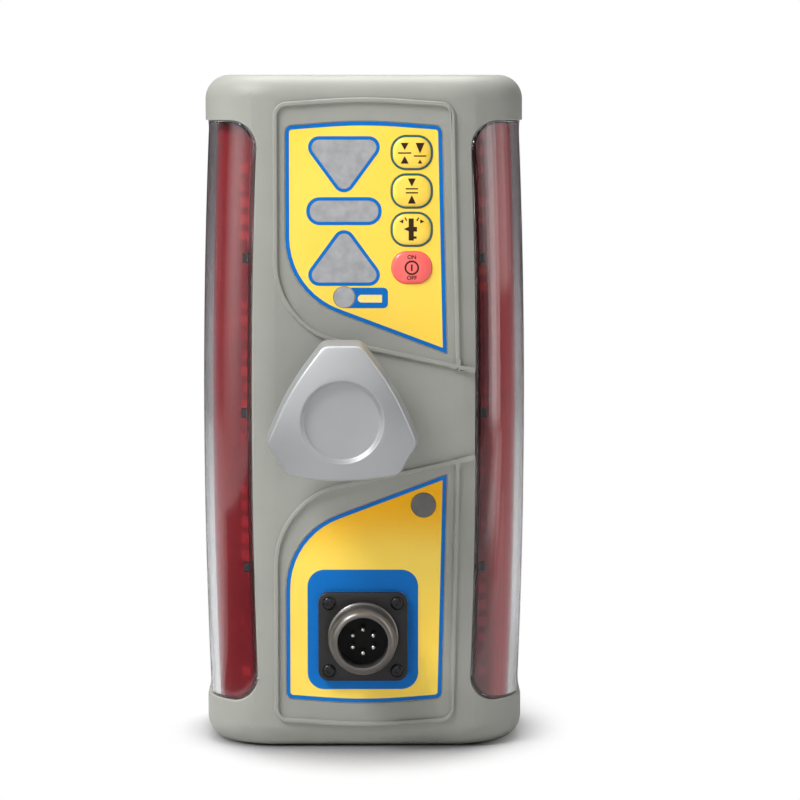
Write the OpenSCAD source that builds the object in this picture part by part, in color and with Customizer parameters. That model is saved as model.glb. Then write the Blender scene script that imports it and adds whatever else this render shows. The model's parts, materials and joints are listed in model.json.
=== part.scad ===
// Machine-control laser receiver: a sealed upright case with a clear barrel lens down each side,
// a grade display with four keys, a cable connector and a mast clamp worked by a three-sided knob.
// The front faces -Y, +Z is up, and the origin is on the floor at the middle of the whole part.

/* [Case] */
// Height of the case
body_h = 228; // [224:1:234]
// Width of the case across its end caps
body_w = 108; // [106:0.5:109]
// Depth of the case from its front face to its rear face
body_d = 70; // [68:1:74]
// Plan radius of the two front corners
front_corner_r = 24; // [22:0.5:25]
// Plan radius of the two rear corners
rear_corner_r = 14; // [12:0.5:16]
// Rounding of the top and bottom edges
edge_r = 8; // [7:0.5:9]
// Thickness of the moulded walls
wall = 3; // [2.6:0.1:3.2]
// Thickness of the rubber gasket between the two case halves
gasket_t = 0.8; // [0.6:0.1:1.2]
// Screws that hold the case halves together, radius of the thread
case_screw_r = 2; // [1.5:0.1:2.2]

/* [Windows] */
// Height of the case above and below each side window
cap_h = 15.3; // [15:0.1:19]
// Radius of the window's corners
window_corner_r = 9; // [7:0.5:10]
// How far back each window runs round the side of the case
window_rear = 50; // [46:0.5:50]
// Half of the front face's width between the windows, at mid height
face_half_w = 37.9; // [36.5:0.1:38.5]
// How far each lens bulges outwards between its ends and its middle
barrel_bulge = 2.2; // [1.5:0.1:2.6]
// How far each lens stands out past the side of the case at mid height
lens_proud_t = 1; // [0.6:0.1:1.4]
// Thickness of the clear lens
lens_t = 3; // [2.6:0.1:3.2]
// Thickness of the red filter behind the lens
filter_t = 1; // [0.8:0.1:1.2]
// Photodiodes in each column
diode_count = 24; // [12:1:30]

/* [Panels] */
// Thickness of the printed overlays
overlay_t = 0.5; // [0.3:0.1:0.8]
// Depth of the pocket that each overlay lies in
overlay_pocket_t = 0.7; // [0.5:0.1:1]
// Width of the raised bead round each panel
bead_w = 1.6; // [1.2:0.1:2]
// Height of the raised bead
bead_rise = 0.7; // [0.4:0.1:0.9]
// Radius of the sweeping corner of each overlay
panel_sweep_r = 27; // [24:1:29]
// Radius of the sweeping corner of each bead
bead_sweep_r = 27.5; // [24:0.5:29]

/* [Display] */
// Width of an arrow window before its corners are rounded, with its printed edge
arrow_w = 31.3; // [29:0.1:32]
// Height of an arrow window before its corners are rounded, with its printed edge
arrow_h = 21.3; // [20:0.1:21.6]
// Corner radius of the arrow windows
arrow_r = 3.7; // [3:0.1:4]
// Length of the on-grade bar window, with its printed edge
bar_w = 25.3; // [23:0.1:26]
// Height of the on-grade bar window, with its printed edge
bar_h = 9.4; // [8.6:0.1:9.8]
// Width of the printed edge round each window
outline_w = 1.15; // [0.8:0.05:1.3]
// Diameter of the round battery lamp window
lamp_d = 7.1; // [6:0.1:7.4]
// Diameter of the round status window on the lower panel
status_d = 8.3; // [7:0.1:9]

/* [Keys] */
// Width of a key
key_w = 13.7; // [12.5:0.1:14]
// Height of a key
key_h = 11.3; // [10.5:0.1:11.4]
// Distance from key to key
key_pitch = 12.85; // [12.8:0.05:13]
// How far a key stands out of the overlay
key_rise = 1.1; // [0.8:0.1:1.4]
// How far a key travels when pressed
key_travel = 0.5; // [0.4:0.05:0.55]

/* [Connector] */
// Side of the square connector flange
flange_w = 30.2; // [29:0.1:31]
// Thickness of the connector flange
flange_t = 2; // [1.6:0.1:2.4]
// Spacing of the four flange screws
flange_pitch = 23; // [22.4:0.1:23.2]
// Radius of the connector's plug barrel
plug_r = 11.3; // [10.8:0.05:11.4]
// How far the connector stands out of the front face
plug_reach = 16; // [14:0.5:18]
// Contact pins in the connector
pin_count = 6; // [4:1:7]

/* [Clamp] */
// Radius of the largest mast, plus its clearance in the hook
hook_r = 25.1; // [24.5:0.1:25.5]
// Thickness of the hook round the mast
hook_t = 9; // [8:0.5:10]
// Height of the hook
hook_h = 60; // [54:1:64]
// Travel of the clamp jaw
jaw_travel = 12; // [10:0.5:12]
// Thickness of the jaw plate
jaw_t = 6; // [5.6:0.1:7]
// Thickness of the rubber pad on the jaw
pad_t = 2; // [1.6:0.1:2.6]
// Radius of the clamp screw
screw_r = 6; // [5:0.25:6.5]
// Radius of the jaw's guide rods
guide_r = 3; // [2.5:0.1:3.4]
// Depth of the knob from front to back
knob_t = 16; // [14:0.5:18]
// Distance from the knob's axis to the flat on each corner
knob_flat_r = 25; // [24:0.25:26]
// Half length of the flat on each corner of the knob
knob_flat_half_w = 6; // [5:0.25:6.5]
// Distance from the knob's axis to the middle of each side
knob_waist_r = 19.3; // [18.6:0.1:19.6]

/* [Power] */
// Diameter of a rechargeable cell
cell_d = 26; // [24:0.2:26]
// Length of a rechargeable cell with its terminal
cell_l = 50; // [48:0.5:51]

/* [Hidden] */
$fn = 96;
shell_fn = 40;
barrel_fn = 1440;
overrun = 1;
arc_steps = 16;
reach = body_h + body_d + body_w;
mid_z = body_h / 2;

// Clearances
slip = 0.05;
fit_gap = 0.15;
move_gap = 0.3;
screw_gap = 0.1;

// Case halves
rear_half_d = 16;
split_y = body_d - rear_half_d;
front_end = split_y - gasket_t / 2;
rear_start = split_y + gasket_t / 2;
gasket_edge = 0.4;
gasket_w = 2.2;
case_screw_x_shares = [-0.33, 0.33];
case_screw_rise = 9.5;
case_screw_boss = 2;
case_head_boss = 1.6;
case_screw_bite = 16;
case_head_r = 3.8;
case_head_t = 3.2;
case_head_land = 4;

// Side windows and what sits in them
window_h = body_h - 2 * cap_h;
window_half = window_h / 2;
lens_half_w = body_w / 2 + lens_proud_t;
barrel_r = (window_half * window_half + barrel_bulge * barrel_bulge) / (2 * barrel_bulge);
barrel_axis_x = barrel_r - lens_half_w;
face_axis_x = barrel_r - face_half_w;
frame_t = 2.5;
frame_outer = 1.5;
filter_gap = 0.2;
seal_t = filter_gap + filter_t;
ledge_w = 3;
ledge_t = 2;
seal_bottom = lens_t + seal_t;
frame_bottom = seal_bottom + ledge_t;
barrel_half_angle = asin((window_half + 2 * frame_t) / barrel_r);
lens_gap = 0.2;
seal_gap = 0.3;
seal_w = 0.7;
seal_edge = seal_gap + seal_w;
filter_inset = 0.15;
filter_edge = seal_edge + filter_inset;
clip_h = 3;
clip_pitch = 52.5;

// Photocell boards, set at 45 degrees behind each lens
pcb_t = 1.6;
photo_lean = 45;
photo_face = 15;
photo_w = 16;
photo_end_h = 6.7;
photo_h = window_h - 2 * photo_end_h;
diode_size = 4;
diode_t = 1.2;
diode_pitch = (photo_h - 2 * diode_size) / (diode_count - 1);

// Overlay outline, measured from the middle of the face
panel_left = 26.5;
panel_right_top = 26.3;
panel_right_low = 28.05;
panel_end_h = 17;
panel_top = mid_z - panel_end_h;
panel_crown = 2;
panel_crown_r = 165;
panel_tip = 20.3;
panel_slope = 20.6;
panel_corner_r = 2.5;
panel_tip_r = 0.4;
panel_low = panel_tip + (panel_left + panel_right_low) * tan(panel_slope);
panel_points = [
  [-panel_left, panel_low],
  [panel_right_low, panel_tip],
  [panel_right_top, panel_top],
  [0, panel_top + panel_crown],
  [-panel_left, panel_top],
];
panel_radii = [panel_sweep_r, panel_tip_r, panel_corner_r, panel_crown_r, panel_corner_r];
overlay_front = overlay_pocket_t - overlay_t;
overlay_gap = 0.15;

// Bead outline, measured from the middle of the face
bead_left = 29.7;
bead_right_top = 29.7;
bead_right_low = 31.8;
bead_end_h = 10;
bead_top = mid_z - bead_end_h;
bead_crown = 2;
bead_crown_r = 165;
bead_tip = 15.9;
bead_slope = 12;
bead_corner_r = 4;
bead_tip_r = 1;
bead_tail = 5;
bead_low = bead_tip + (bead_left + bead_right_low) * tan(bead_slope);
bead_points = [
  [-bead_left, bead_low],
  [bead_right_low, bead_tip],
  [bead_right_top, bead_top],
  [0, bead_top + bead_crown],
  [-bead_left, bead_top],
];
bead_radii = [bead_sweep_r, bead_tip_r, bead_corner_r, bead_crown_r, bead_corner_r];

// Display windows: centre line and heights above mid height
display_x = -6.65;
display_drop = 28.6;
display_up = panel_top - display_drop;
arrow_base_up = 25.1;
lamp_drop = 28.9;
lamp_up = display_up - lamp_drop;
status_x = 20.1;
status_drop = 30.9;
rim_w = 0.5;
rim_t = 1;

// Keys
key_x = 16.1;
key_top_drop = 9;
key_top_up = panel_top - key_top_drop;
key_corner_r = 5;
key_dome_r = 40;
key_flange_w = 0.6;
key_flange_t = 1;
key_back = wall + move_gap + key_flange_t;
power_key_less_w = 0.5;
power_key_less_h = 0.8;

// Circuit boards behind the panels
board_y = 8;
board_half_w = 24.5;
board_edge = 3;
board_over_h = 6;
board_under_h = 3.5;
display_board_top = panel_top + board_over_h;
display_board_low = lamp_up - board_under_h;
power_board_top = -16;
power_board_low = -56;
standoff_r = 2.6;
board_screw_r = 1.25;
board_head_r = 2.4;
board_head_t = 1.5;
led_r = 1.5;
led_gap = 0.5;
led_pitch = 5.5;
switch_w = 6;
switch_plunger_r = 1.7;
switch_plunger_t = 0.5;
switch_gap = 0.2;
switch_top = key_back + key_travel + switch_gap;
sensor_r = 6;
sensor_h = 8;
sensor_x = 10;
sensor_drop = 21;
sensor_up = panel_top - sensor_drop;

// Connector
plug_x = -0.4;
plug_z = 38.5;
plug_gasket_t = 0.6;
flange_corner_r = 3.6;
flange_front = overlay_front - plug_gasket_t - flange_t;
collar_w = 0.6;
collar_r = plug_r + collar_w;
collar_t = 1.6;
plug_nose_t = 2.5;
plug_nose_w = 2;
plug_rear_r = 10.5;
plug_rear = 10;
plug_bore_r = 8.45;
insert_front = -6;
pin_ring_r = 4;
pin_r = 0.8;
pin_tip = -13;
pin_tail = 4;
key_rib_w = 1.8;
key_rib_t = 1.1;
key_rib_root = 0.5;
plug_screw_r = 1.5;
plug_head_r = 2.2;
plug_head_t = 1.2;
plug_screw_bite = 7;
plug_boss = 1.8;

// Clamp: everything on the knob's axis
clamp_x = -7.2;
knob_spare = 1.5;
knob_gap = jaw_travel + knob_spare;
knob_front = knob_gap + knob_t;
pocket_d = 18;
pocket_y = body_d - pocket_d;
bush_flange_t = 2.5;
bush_flange_r = 14;
bush_r = 8.5;
nut_across = 24;
nut_t = 5;
jaw_gap = 0.5;
jaw_y = pocket_y + bush_flange_t + jaw_gap;
jaw_half_w = 15;
jaw_half_h = 25;
jaw_corner_r = 4;
pad_gap = 0.3;
mast_y = jaw_y + jaw_t + pad_t + pad_gap + hook_r;
pocket_side = 2;
pocket_end = 5;
pocket_half_w = jaw_half_w + pocket_side;
pocket_half_h = jaw_half_h + pocket_end;
channel_gap = 1.9;
channel_r = hook_r + channel_gap;
journal_r = 4;
clip_r = 6.5;
clip_t = 1.2;
clip_bore_r = 7;
clip_bore_t = 2.2;
guide_rise = 18;
guide_l = 22;
guide_bite = 4;
guide_boss = 2.5;
guide_spare = 1;
seal_ring_w = 3.5;
seal_ring_t = 2;
seal_boss_t = 2.4;

// Hook
hook_from = -30;
hook_to = 115;
foot_x = 14.5;
foot_w = 25;
foot_t = 8;
hook_screw_x = 33;
hook_screw_pitch = 21;
hook_screw_r = 3;
hook_head_r = 5;
hook_head_t = 5;
hook_screw_bite = 10;
hook_boss = 3;

// Knob form
knob_draft = 1.1;
knob_side_r = 85;
knob_bow_t = 0.8;
knob_corner_r = 2.5;
knob_wall = 3;
knob_front_t = 5;
knob_hub_r = 11;
recess_rim_r = 13.7;
recess_floor_r = 12;
recess_t = 1.6;
recess_mouth_r = 2 * recess_rim_r - recess_floor_r;
knob_pin_r = 2;
knob_pin_y = 9;

// Cells and their trays
cell_r = cell_d / 2;
cell_y = 27;
cell_gap = 0.2;
tray_side = 0.8;
tray_floor = 2;
cell_off = bush_r + move_gap + tray_side + cell_gap + cell_r;
tray_back = cell_y + cell_r + tray_floor;
tray_end = 2;
contact_t = 1;
contact_w = 14;
terminal_r = 3;
terminal_t = 1.5;
cell_stack = 2 * cell_l + 2 * contact_t;
tray_low = mid_z - cell_stack / 2 - tray_end;
tray_h = cell_stack + 2 * tray_end;
tray_leg_r = 4;
tray_leg_off = 14.4;
tray_leg_rise = 26;

// The whole part is centred front to back
home_y = (knob_front - (mast_y + hook_r + hook_t)) / 2;

// Colours
case_grey = [0.62, 0.63, 0.60];
rubber_black = [0.10, 0.10, 0.11];
clear_grey = [0.78, 0.80, 0.82, 0.35];
lens_red = [0.62, 0.12, 0.14, 0.6];
board_green = [0.10, 0.36, 0.20];
panel_yellow = [1.0, 0.85, 0.33];
window_grey = [0.64, 0.65, 0.66];
power_red = [0.99, 0.45, 0.42];
cell_green = [0.20, 0.42, 0.30];
knob_grey = [0.70, 0.71, 0.72];
steel = [0.72, 0.73, 0.75];
dark_metal = [0.20, 0.20, 0.21];
gold = [0.85, 0.72, 0.38];
cast_grey = [0.55, 0.56, 0.57];

// Placing and drawing helpers

// Puts a piece that is drawn from the front face (y = 0) where it belongs in the part's frame.
module placed() {
  translate([0, home_y, 0])
    children();
}

module on_axis() {
  translate([clamp_x, 0, mid_z])
    children();
}

module both_sides() {
  children();
  mirror([1, 0, 0])
    children();
}

// The lower panel is the upper one turned over about mid height.
module both_panels() {
  children();
  mirror([0, 1])
    children();
}

// Extrudes an outline drawn in x and z from one depth to another.
module along_y(from, to) {
  rotate([90, 0, 0])
    translate([0, 0, -to])
      linear_extrude(to - from)
        children();
}

// Extrudes an outline drawn in y and z from one side to another.
module along_x(from, to) {
  rotate([90, 0, 90])
    translate([0, 0, from])
      linear_extrude(to - from)
        children();
}

module rod_y(from, to, r) {
  cone_y(from, to, r, r);
}

module cone_y(from, to, r_from, r_to) {
  translate([0, from, 0])
    rotate([-90, 0, 0])
      cylinder(h = to - from, r1 = r_from, r2 = r_to);
}

module tube_y(from, to, r, bore_r) {
  difference() {
    rod_y(from, to, r);
    rod_y(from - overrun, to + overrun, bore_r);
  }
}

module slab_y(from, to) {
  translate([-reach / 2, from, -reach / 2])
    cube([reach, to - from, 2 * reach]);
}

// Outlines with rounded corners

function unit(v) = v / norm(v);
function polar(r, a) = r * [cos(a), sin(a)];
function edge_dir(points, i, step) = unit(points[(i + step + len(points)) % len(points)] - points[i]);
function corner_angle(points, i) = acos(edge_dir(points, i, 1) * edge_dir(points, i, -1));
function grown_point(points, i, grow) =
  points[i] - (edge_dir(points, i, 1) + edge_dir(points, i, -1)) * grow / sin(corner_angle(points, i));
function grown(points, grow) = [for (i = [0:len(points) - 1]) grown_point(points, i, grow)];

// The rounded corner i of an outline, as points from its one edge to its other.
function corner_arc(points, i, r) =
  let (
    a = edge_dir(points, i, 1),
    b = edge_dir(points, i, -1),
    half = corner_angle(points, i) / 2,
    centre = points[i] + unit(a + b) * r / sin(half),
    from = points[i] + b * r / tan(half) - centre,
    sweep = (180 - 2 * half) * sign(cross(a, b)) / arc_steps
  )
  r > 0 ? [for (k = [0:arc_steps]) centre + polar(r, atan2(from.y, from.x) + k * sweep)] : [points[i]];

// A slanted outline with rounded corners, its arcs drawn in steps.
module stepped_outline(points, radii, grow = 0) {
  moved = grown(points, grow);
  polygon([for (i = [0:len(points) - 1]) each corner_arc(moved, i, radii[i] > 0 ? max(radii[i] + grow, 0) : 0)]);
}

// What a rounding of radius r takes off a corner whose edges run along a and b.
module corner_trim(corner, a, b, r) {
  half = acos(a * b) / 2;
  middle = unit(a + b);
  centre = corner + middle * r / sin(half);
  start = corner + a * r / tan(half);
  end = corner + b * r / tan(half);
  difference() {
    polygon([
      start,
      start + unit(start - centre) * overrun,
      corner - middle * overrun / sin(half),
      end + unit(end - centre) * overrun,
      end,
      centre,
    ]);
    translate(centre)
      circle(r);
  }
}

// A convex outline with a radius at each corner, moved outwards by grow.
module rounded_outline(points, radii, grow = 0) {
  moved = grown(points, grow);
  difference() {
    polygon(moved);
    for (i = [0:len(points) - 1])
      if (radii[i] + grow > 0 && radii[i] > 0)
        corner_trim(moved[i], edge_dir(moved, i, 1), edge_dir(moved, i, -1), radii[i] + grow);
  }
}

module rounded_rect(w, h, r, grow = 0) {
  points = [[-w / 2, -h / 2], [w / 2, -h / 2], [w / 2, h / 2], [-w / 2, h / 2]];
  rounded_outline(points, [r, r, r, r], grow);
}

// Case form

module puck_half(r, h, edge) {
  rounded_outline([[0, 0], [r, 0], [r, h], [0, h]], [0, edge, edge, 0]);
}

module corner_puck(side, y, r, inset) {
  translate([side * (body_w / 2 - r), y, inset])
    rotate_extrude($fn = shell_fn)
      puck_half(r - inset, body_h - 2 * inset, edge_r - inset, $fn = shell_fn);
}

// The outside of the closed case, moved inwards by inset.
module case_form(inset) {
  hull()
    for (side = [-1, 1]) {
      corner_puck(side, front_corner_r, front_corner_r, inset);
      corner_puck(side, body_d - rear_corner_r, rear_corner_r, inset);
    }
}

// Side windows: drawn on the left and mirrored to the right

// The left window seen from the front, about mid height: its inner edge follows the barrel.
module window_front(grow) {
  r = window_corner_r + grow;
  top = window_half + grow;
  face_r = barrel_r - grow;
  corner_x = face_axis_x - sqrt(pow(face_r + r, 2) - pow(top - r, 2));
  difference() {
    translate([-body_w, -top])
      square([body_w, 2 * top]);
    translate([face_axis_x, 0])
      circle(face_r, $fn = barrel_fn);
    for (end = [0, 1])
      mirror([0, end])
        difference() {
          translate([corner_x, top - r])
            square([body_w, r + overrun]);
          translate([corner_x, top - r])
            circle(r);
        }
  }
}

module window_side(grow) {
  r = window_corner_r + grow;
  top = window_half + grow;
  rear = window_rear + grow;
  rounded_outline([[-overrun, -top], [rear, -top], [rear, top], [-overrun, top]], [0, r, r, 0]);
}

// Everything straight behind the left window.
module window_prism(grow) {
  translate([0, 0, mid_z])
    intersection() {
      along_y(-overrun, window_rear + grow + overrun)
        window_front(grow);
      along_x(-body_w, 0)
        window_side(grow);
    }
}

module lens_outline(inset, rear) {
  side = -lens_half_w + inset;
  rounded_outline([[side, inset], [0, inset], [0, rear], [side, rear]], [front_corner_r - inset, 0, 0, 0]);
}

// A layer of the left barrel between two depths under the lens's outer face.
module barrel(from, to) {
  rear = window_rear + frame_t + overrun;
  translate([barrel_axis_x, 0, mid_z])
    mirror([1, 0, 0])
      rotate([-90, 0, 0])
        rotate([0, 0, -barrel_half_angle])
          rotate_extrude(angle = 2 * barrel_half_angle, $fn = barrel_fn)
            translate([barrel_axis_x, 0])
              mirror([1, 0])
                difference() {
                  lens_outline(from, rear);
                  lens_outline(to, rear + overrun);
                }
}

module window_ring(outer, inner) {
  difference() {
    window_prism(outer);
    window_prism(inner);
  }
}

// The moulded frame that carries a lens: a rim round the opening and a ledge under the lens.
module window_frame() {
  intersection() {
    barrel(frame_outer, frame_bottom);
    window_ring(frame_t, 0);
  }
  intersection() {
    barrel(seal_bottom, frame_bottom);
    window_ring(frame_t, -ledge_w);
  }
}

module clip_boxes(grow) {
  for (k = [-1, 0, 1])
    translate([0, 0, mid_z + k * clip_pitch])
      along_y(-overrun, front_corner_r)
        translate([-body_w / 2, -clip_h / 2 - grow])
          square([body_w / 2, clip_h + 2 * grow]);
}

module lens() {
  color(clear_grey)
    intersection() {
      barrel(0, lens_t);
      window_prism(-lens_gap);
    }
}

module lens_seal() {
  color(rubber_black)
    intersection() {
      barrel(lens_t, seal_bottom);
      window_ring(-seal_gap, -seal_edge);
    }
}

module lens_clips() {
  color(dark_metal)
    intersection() {
      barrel(lens_t, seal_bottom);
      window_ring(-filter_edge, -ledge_w);
      clip_boxes(0);
    }
}

module red_filter() {
  color(lens_red)
    difference() {
      intersection() {
        barrel(lens_t + filter_gap, seal_bottom);
        window_prism(-filter_edge);
      }
      difference() {
        clip_boxes(fit_gap);
        window_prism(-ledge_w - fit_gap);
      }
    }
}

// Moves to the middle of the left photocell board's outer face, with +X across it and -Y outwards.
module on_photo_board() {
  translate([front_corner_r - lens_half_w, front_corner_r, mid_z])
    rotate([0, 0, -photo_lean])
      translate([0, -photo_face, 0])
        children();
}

module photocell_board() {
  color(board_green)
    on_photo_board()
      translate([-photo_w / 2, 0, -photo_h / 2])
        cube([photo_w, pcb_t, photo_h]);
}

module photodiodes() {
  color(dark_metal)
    on_photo_board()
      for (i = [0:diode_count - 1])
        translate([-diode_size / 2, -diode_t, (i - (diode_count - 1) / 2) * diode_pitch - diode_size / 2])
          cube([diode_size, diode_t, diode_size]);
}

// Panels on the front face, drawn in x and z about mid height

module panel_outline(grow = 0) {
  stepped_outline(panel_points, panel_radii, grow);
}

module bead_outline() {
  difference() {
    stepped_outline(bead_points, bead_radii, bead_w / 2);
    stepped_outline(bead_points, bead_radii, -bead_w / 2);
  }
  translate([bead_right_low, bead_tip])
    rotate(-bead_slope) {
      translate([0, -bead_w / 2])
        square([bead_tail, bead_w]);
      translate([bead_tail, 0])
        circle(bead_w / 2);
    }
}

module arrow_outline(grow) {
  stepped_outline([[-arrow_w / 2, 0], [arrow_w / 2, 0], [0, -arrow_h]], [arrow_r, arrow_r, arrow_r], grow);
}

// The clear part of each window, inside its printed edge, moved outwards by grow.
module arrow_down_outline(grow) {
  translate([display_x, display_up + arrow_base_up])
    arrow_outline(grow - outline_w);
}

module arrow_up_outline(grow) {
  translate([display_x, display_up - arrow_base_up])
    mirror([0, 1])
      arrow_outline(grow - outline_w);
}

module bar_outline(grow) {
  translate([display_x, display_up])
    rounded_rect(bar_w, bar_h, bar_h / 2 - fit_gap, grow - outline_w);
}

module lamp_outline(grow) {
  translate([display_x, lamp_up])
    circle(lamp_d / 2 + grow);
}

module status_outline(grow) {
  translate([status_x, -status_drop])
    circle(status_d / 2 + grow);
}

module display_outlines(grow) {
  arrow_down_outline(grow);
  bar_outline(grow);
  arrow_up_outline(grow);
  lamp_outline(grow);
}

// Keys are numbered from the top; the last one switches the power.
function key_up(i) = key_top_up - i * key_pitch;

module key_outline(i, grow) {
  less_w = i == 3 ? power_key_less_w : 0;
  less_h = i == 3 ? power_key_less_h : 0;
  translate([key_x, key_up(i)])
    rounded_rect(key_w - less_w, key_h - less_h, key_corner_r, grow);
}

module key_outlines(grow) {
  for (i = [0:3])
    key_outline(i, grow);
}

module plug_corners() {
  for (sx = [-1, 1])
    for (sz = [-1, 1])
      translate([plug_x + sx * flange_pitch / 2, 0, plug_z + sz * flange_pitch / 2])
        children();
}

module board_corners(top, low) {
  for (sx = [-1, 1])
    for (z = [top - board_edge, low + board_edge])
      translate([sx * (board_half_w - board_edge), 0, mid_z + z])
        children();
}

module all_board_corners() {
  board_corners(display_board_top, display_board_low)
    children();
  board_corners(power_board_top, power_board_low)
    children();
}

module case_corners() {
  for (share = case_screw_x_shares)
    for (z = [case_screw_rise, body_h - case_screw_rise])
      translate([share * body_w, 0, z])
        children();
}

// Case halves

module front_case() {
  placed()
    color(case_grey)
      difference() {
        union() {
          difference() {
            intersection() {
              case_form(0);
              slab_y(-overrun, front_end);
            }
            case_form(wall);
            both_sides()
              window_prism(0);
          }
          both_sides()
            window_frame();
          translate([0, 0, mid_z])
            along_y(-bead_rise, wall / 2)
              both_panels()
                bead_outline();
          case_corners()
            rod_y(wall / 2, front_end, case_screw_r + case_screw_boss);
          all_board_corners()
            rod_y(wall / 2, board_y, standoff_r);
          plug_corners()
            rod_y(wall / 2, plug_screw_bite, plug_screw_r + plug_boss);
          on_axis()
            rod_y(wall / 2, wall + seal_boss_t, bush_r + seal_ring_w + wall);
        }
        case_corners()
          rod_y(front_end - case_screw_bite, front_end + overrun, case_screw_r + screw_gap);
        all_board_corners()
          rod_y(wall, board_y + overrun, board_screw_r + screw_gap);
        plug_corners()
          rod_y(-overrun, plug_screw_bite - overrun, plug_screw_r + screw_gap);
        translate([plug_x, 0, plug_z])
          rod_y(-overrun, wall + overrun, plug_rear_r + move_gap);
        on_axis() {
          rod_y(-overrun, wall + overrun, bush_r + fit_gap);
          rod_y(wall, wall + seal_boss_t + overrun, bush_r + seal_ring_w + fit_gap);
        }
        translate([0, 0, mid_z])
          along_y(-overrun, overlay_pocket_t)
            both_panels()
              panel_outline(overlay_gap);
        translate([0, 0, mid_z])
          along_y(-overrun, wall + overrun) {
            display_outlines(fit_gap);
            status_outline(fit_gap);
            key_outlines(move_gap);
          }
      }
}

module rear_case() {
  placed()
    color(case_grey)
      difference() {
        union() {
          difference() {
            intersection() {
              case_form(0);
              slab_y(rear_start, body_d + overrun);
            }
            case_form(wall);
          }
          intersection() {
            case_form(0);
            slab_y(rear_start, body_d + overrun);
            translate([clamp_x, mast_y, 0])
              cylinder(h = body_h, r = channel_r + wall);
          }
          on_axis()
            along_y(pocket_y - wall, body_d)
              square([2 * (pocket_half_w + wall), 2 * (pocket_half_h + wall)], center = true);
          case_corners()
            rod_y(rear_start, body_d, case_head_r + move_gap + case_head_boss);
          on_axis()
            for (end = [-1, 1])
              translate([0, 0, end * guide_rise])
                rod_y(jaw_y - guide_l - guide_spare - guide_boss, pocket_y - wall / 2, guide_r + guide_boss);
          translate([0, 0, mid_z])
            for (k = [-1, 0, 1])
              translate([hook_screw_x, 0, k * hook_screw_pitch])
                rod_y(body_d - hook_screw_bite - hook_boss, body_d, hook_screw_r + hook_boss);
        }
        translate([clamp_x, mast_y, -overrun])
          cylinder(h = body_h + 2 * overrun, r = channel_r);
        on_axis() {
          along_y(pocket_y, body_d + overrun)
            square([2 * pocket_half_w, 2 * pocket_half_h], center = true);
          rod_y(pocket_y - wall - overrun, pocket_y + overrun, bush_r + fit_gap);
          for (end = [-1, 1])
            translate([0, 0, end * guide_rise])
              rod_y(jaw_y - guide_l - guide_spare, pocket_y + overrun, guide_r + slip);
        }
        case_corners() {
          rod_y(rear_start - overrun, body_d + overrun, case_screw_r + screw_gap);
          rod_y(body_d - case_head_land, body_d + overrun, case_head_r + move_gap);
        }
        translate([0, 0, mid_z])
          for (k = [-1, 0, 1])
            translate([hook_screw_x, 0, k * hook_screw_pitch])
              rod_y(body_d - hook_screw_bite, body_d + overrun, hook_screw_r + screw_gap);
      }
}

module case_gasket() {
  placed()
    color(rubber_black)
      translate([0, 0, mid_z])
        along_y(front_end, rear_start)
          difference() {
            rounded_rect(body_w, body_h, edge_r, -gasket_edge);
            rounded_rect(body_w, body_h, edge_r, -gasket_edge - gasket_w);
          }
}

// A screw along +Y: its head ends at y = 0 and its shank runs on from there.
module screw(shank_r, shank_l, head_r, head_t) {
  difference() {
    union() {
      rod_y(-head_t, 0, head_r);
      rod_y(0, shank_l, shank_r);
    }
    rotate([90, 0, 0])
      translate([0, 0, head_t / 2])
        cylinder(h = head_t, r = head_r / 2, $fn = 6);
  }
}

module case_screws() {
  shank = body_d - case_head_land - (front_end - case_screw_bite) - move_gap;
  placed()
    color(steel)
      case_corners()
        translate([0, body_d - case_head_land, 0])
          mirror([0, 1, 0])
            screw(case_screw_r, shank, case_head_r, case_head_t);
}

// Lenses and what is behind them

module lens_left() {
  placed()
    lens();
}

module lens_right() {
  placed()
    mirror([1, 0, 0])
      lens();
}

module lens_seal_left() {
  placed()
    lens_seal();
}

module lens_seal_right() {
  placed()
    mirror([1, 0, 0])
      lens_seal();
}

module lens_clips_left() {
  placed()
    lens_clips();
}

module lens_clips_right() {
  placed()
    mirror([1, 0, 0])
      lens_clips();
}

module red_filter_left() {
  placed()
    red_filter();
}

module red_filter_right() {
  placed()
    mirror([1, 0, 0])
      red_filter();
}

module photocell_board_left() {
  placed()
    photocell_board();
}

module photocell_board_right() {
  placed()
    mirror([1, 0, 0])
      photocell_board();
}

module photodiodes_left() {
  placed()
    photodiodes();
}

module photodiodes_right() {
  placed()
    mirror([1, 0, 0])
      photodiodes();
}

// Panels

module display_overlay() {
  placed()
    color(panel_yellow)
      translate([0, 0, mid_z])
        along_y(overlay_front, overlay_pocket_t)
          difference() {
            panel_outline();
            display_outlines(fit_gap);
            key_outlines(move_gap);
          }
}

module connector_overlay() {
  placed()
    color(panel_yellow)
      difference() {
        translate([0, 0, mid_z])
          along_y(overlay_front, overlay_pocket_t)
            difference() {
              mirror([0, 1])
                panel_outline();
              status_outline(fit_gap);
            }
        translate([plug_x, 0, plug_z])
          rod_y(-overrun, overrun, plug_rear_r + move_gap);
        plug_corners()
          rod_y(-overrun, overrun, plug_screw_r + screw_gap);
      }
}

// A window plug: flush with the overlay in front, with a rim behind the wall.
module window_plug(colour = window_grey) {
  placed()
    color(colour)
      translate([0, 0, mid_z]) {
        along_y(overlay_front, wall)
          children(0);
        along_y(wall, wall + rim_t)
          children(1);
      }
}

module arrow_down_window() {
  window_plug() {
    arrow_down_outline(0);
    arrow_down_outline(rim_w);
  }
}

module grade_bar_window() {
  window_plug() {
    bar_outline(0);
    bar_outline(rim_w);
  }
}

module arrow_up_window() {
  window_plug() {
    arrow_up_outline(0);
    arrow_up_outline(rim_w);
  }
}

module battery_lamp_window() {
  window_plug() {
    lamp_outline(0);
    lamp_outline(rim_w);
  }
}

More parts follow.
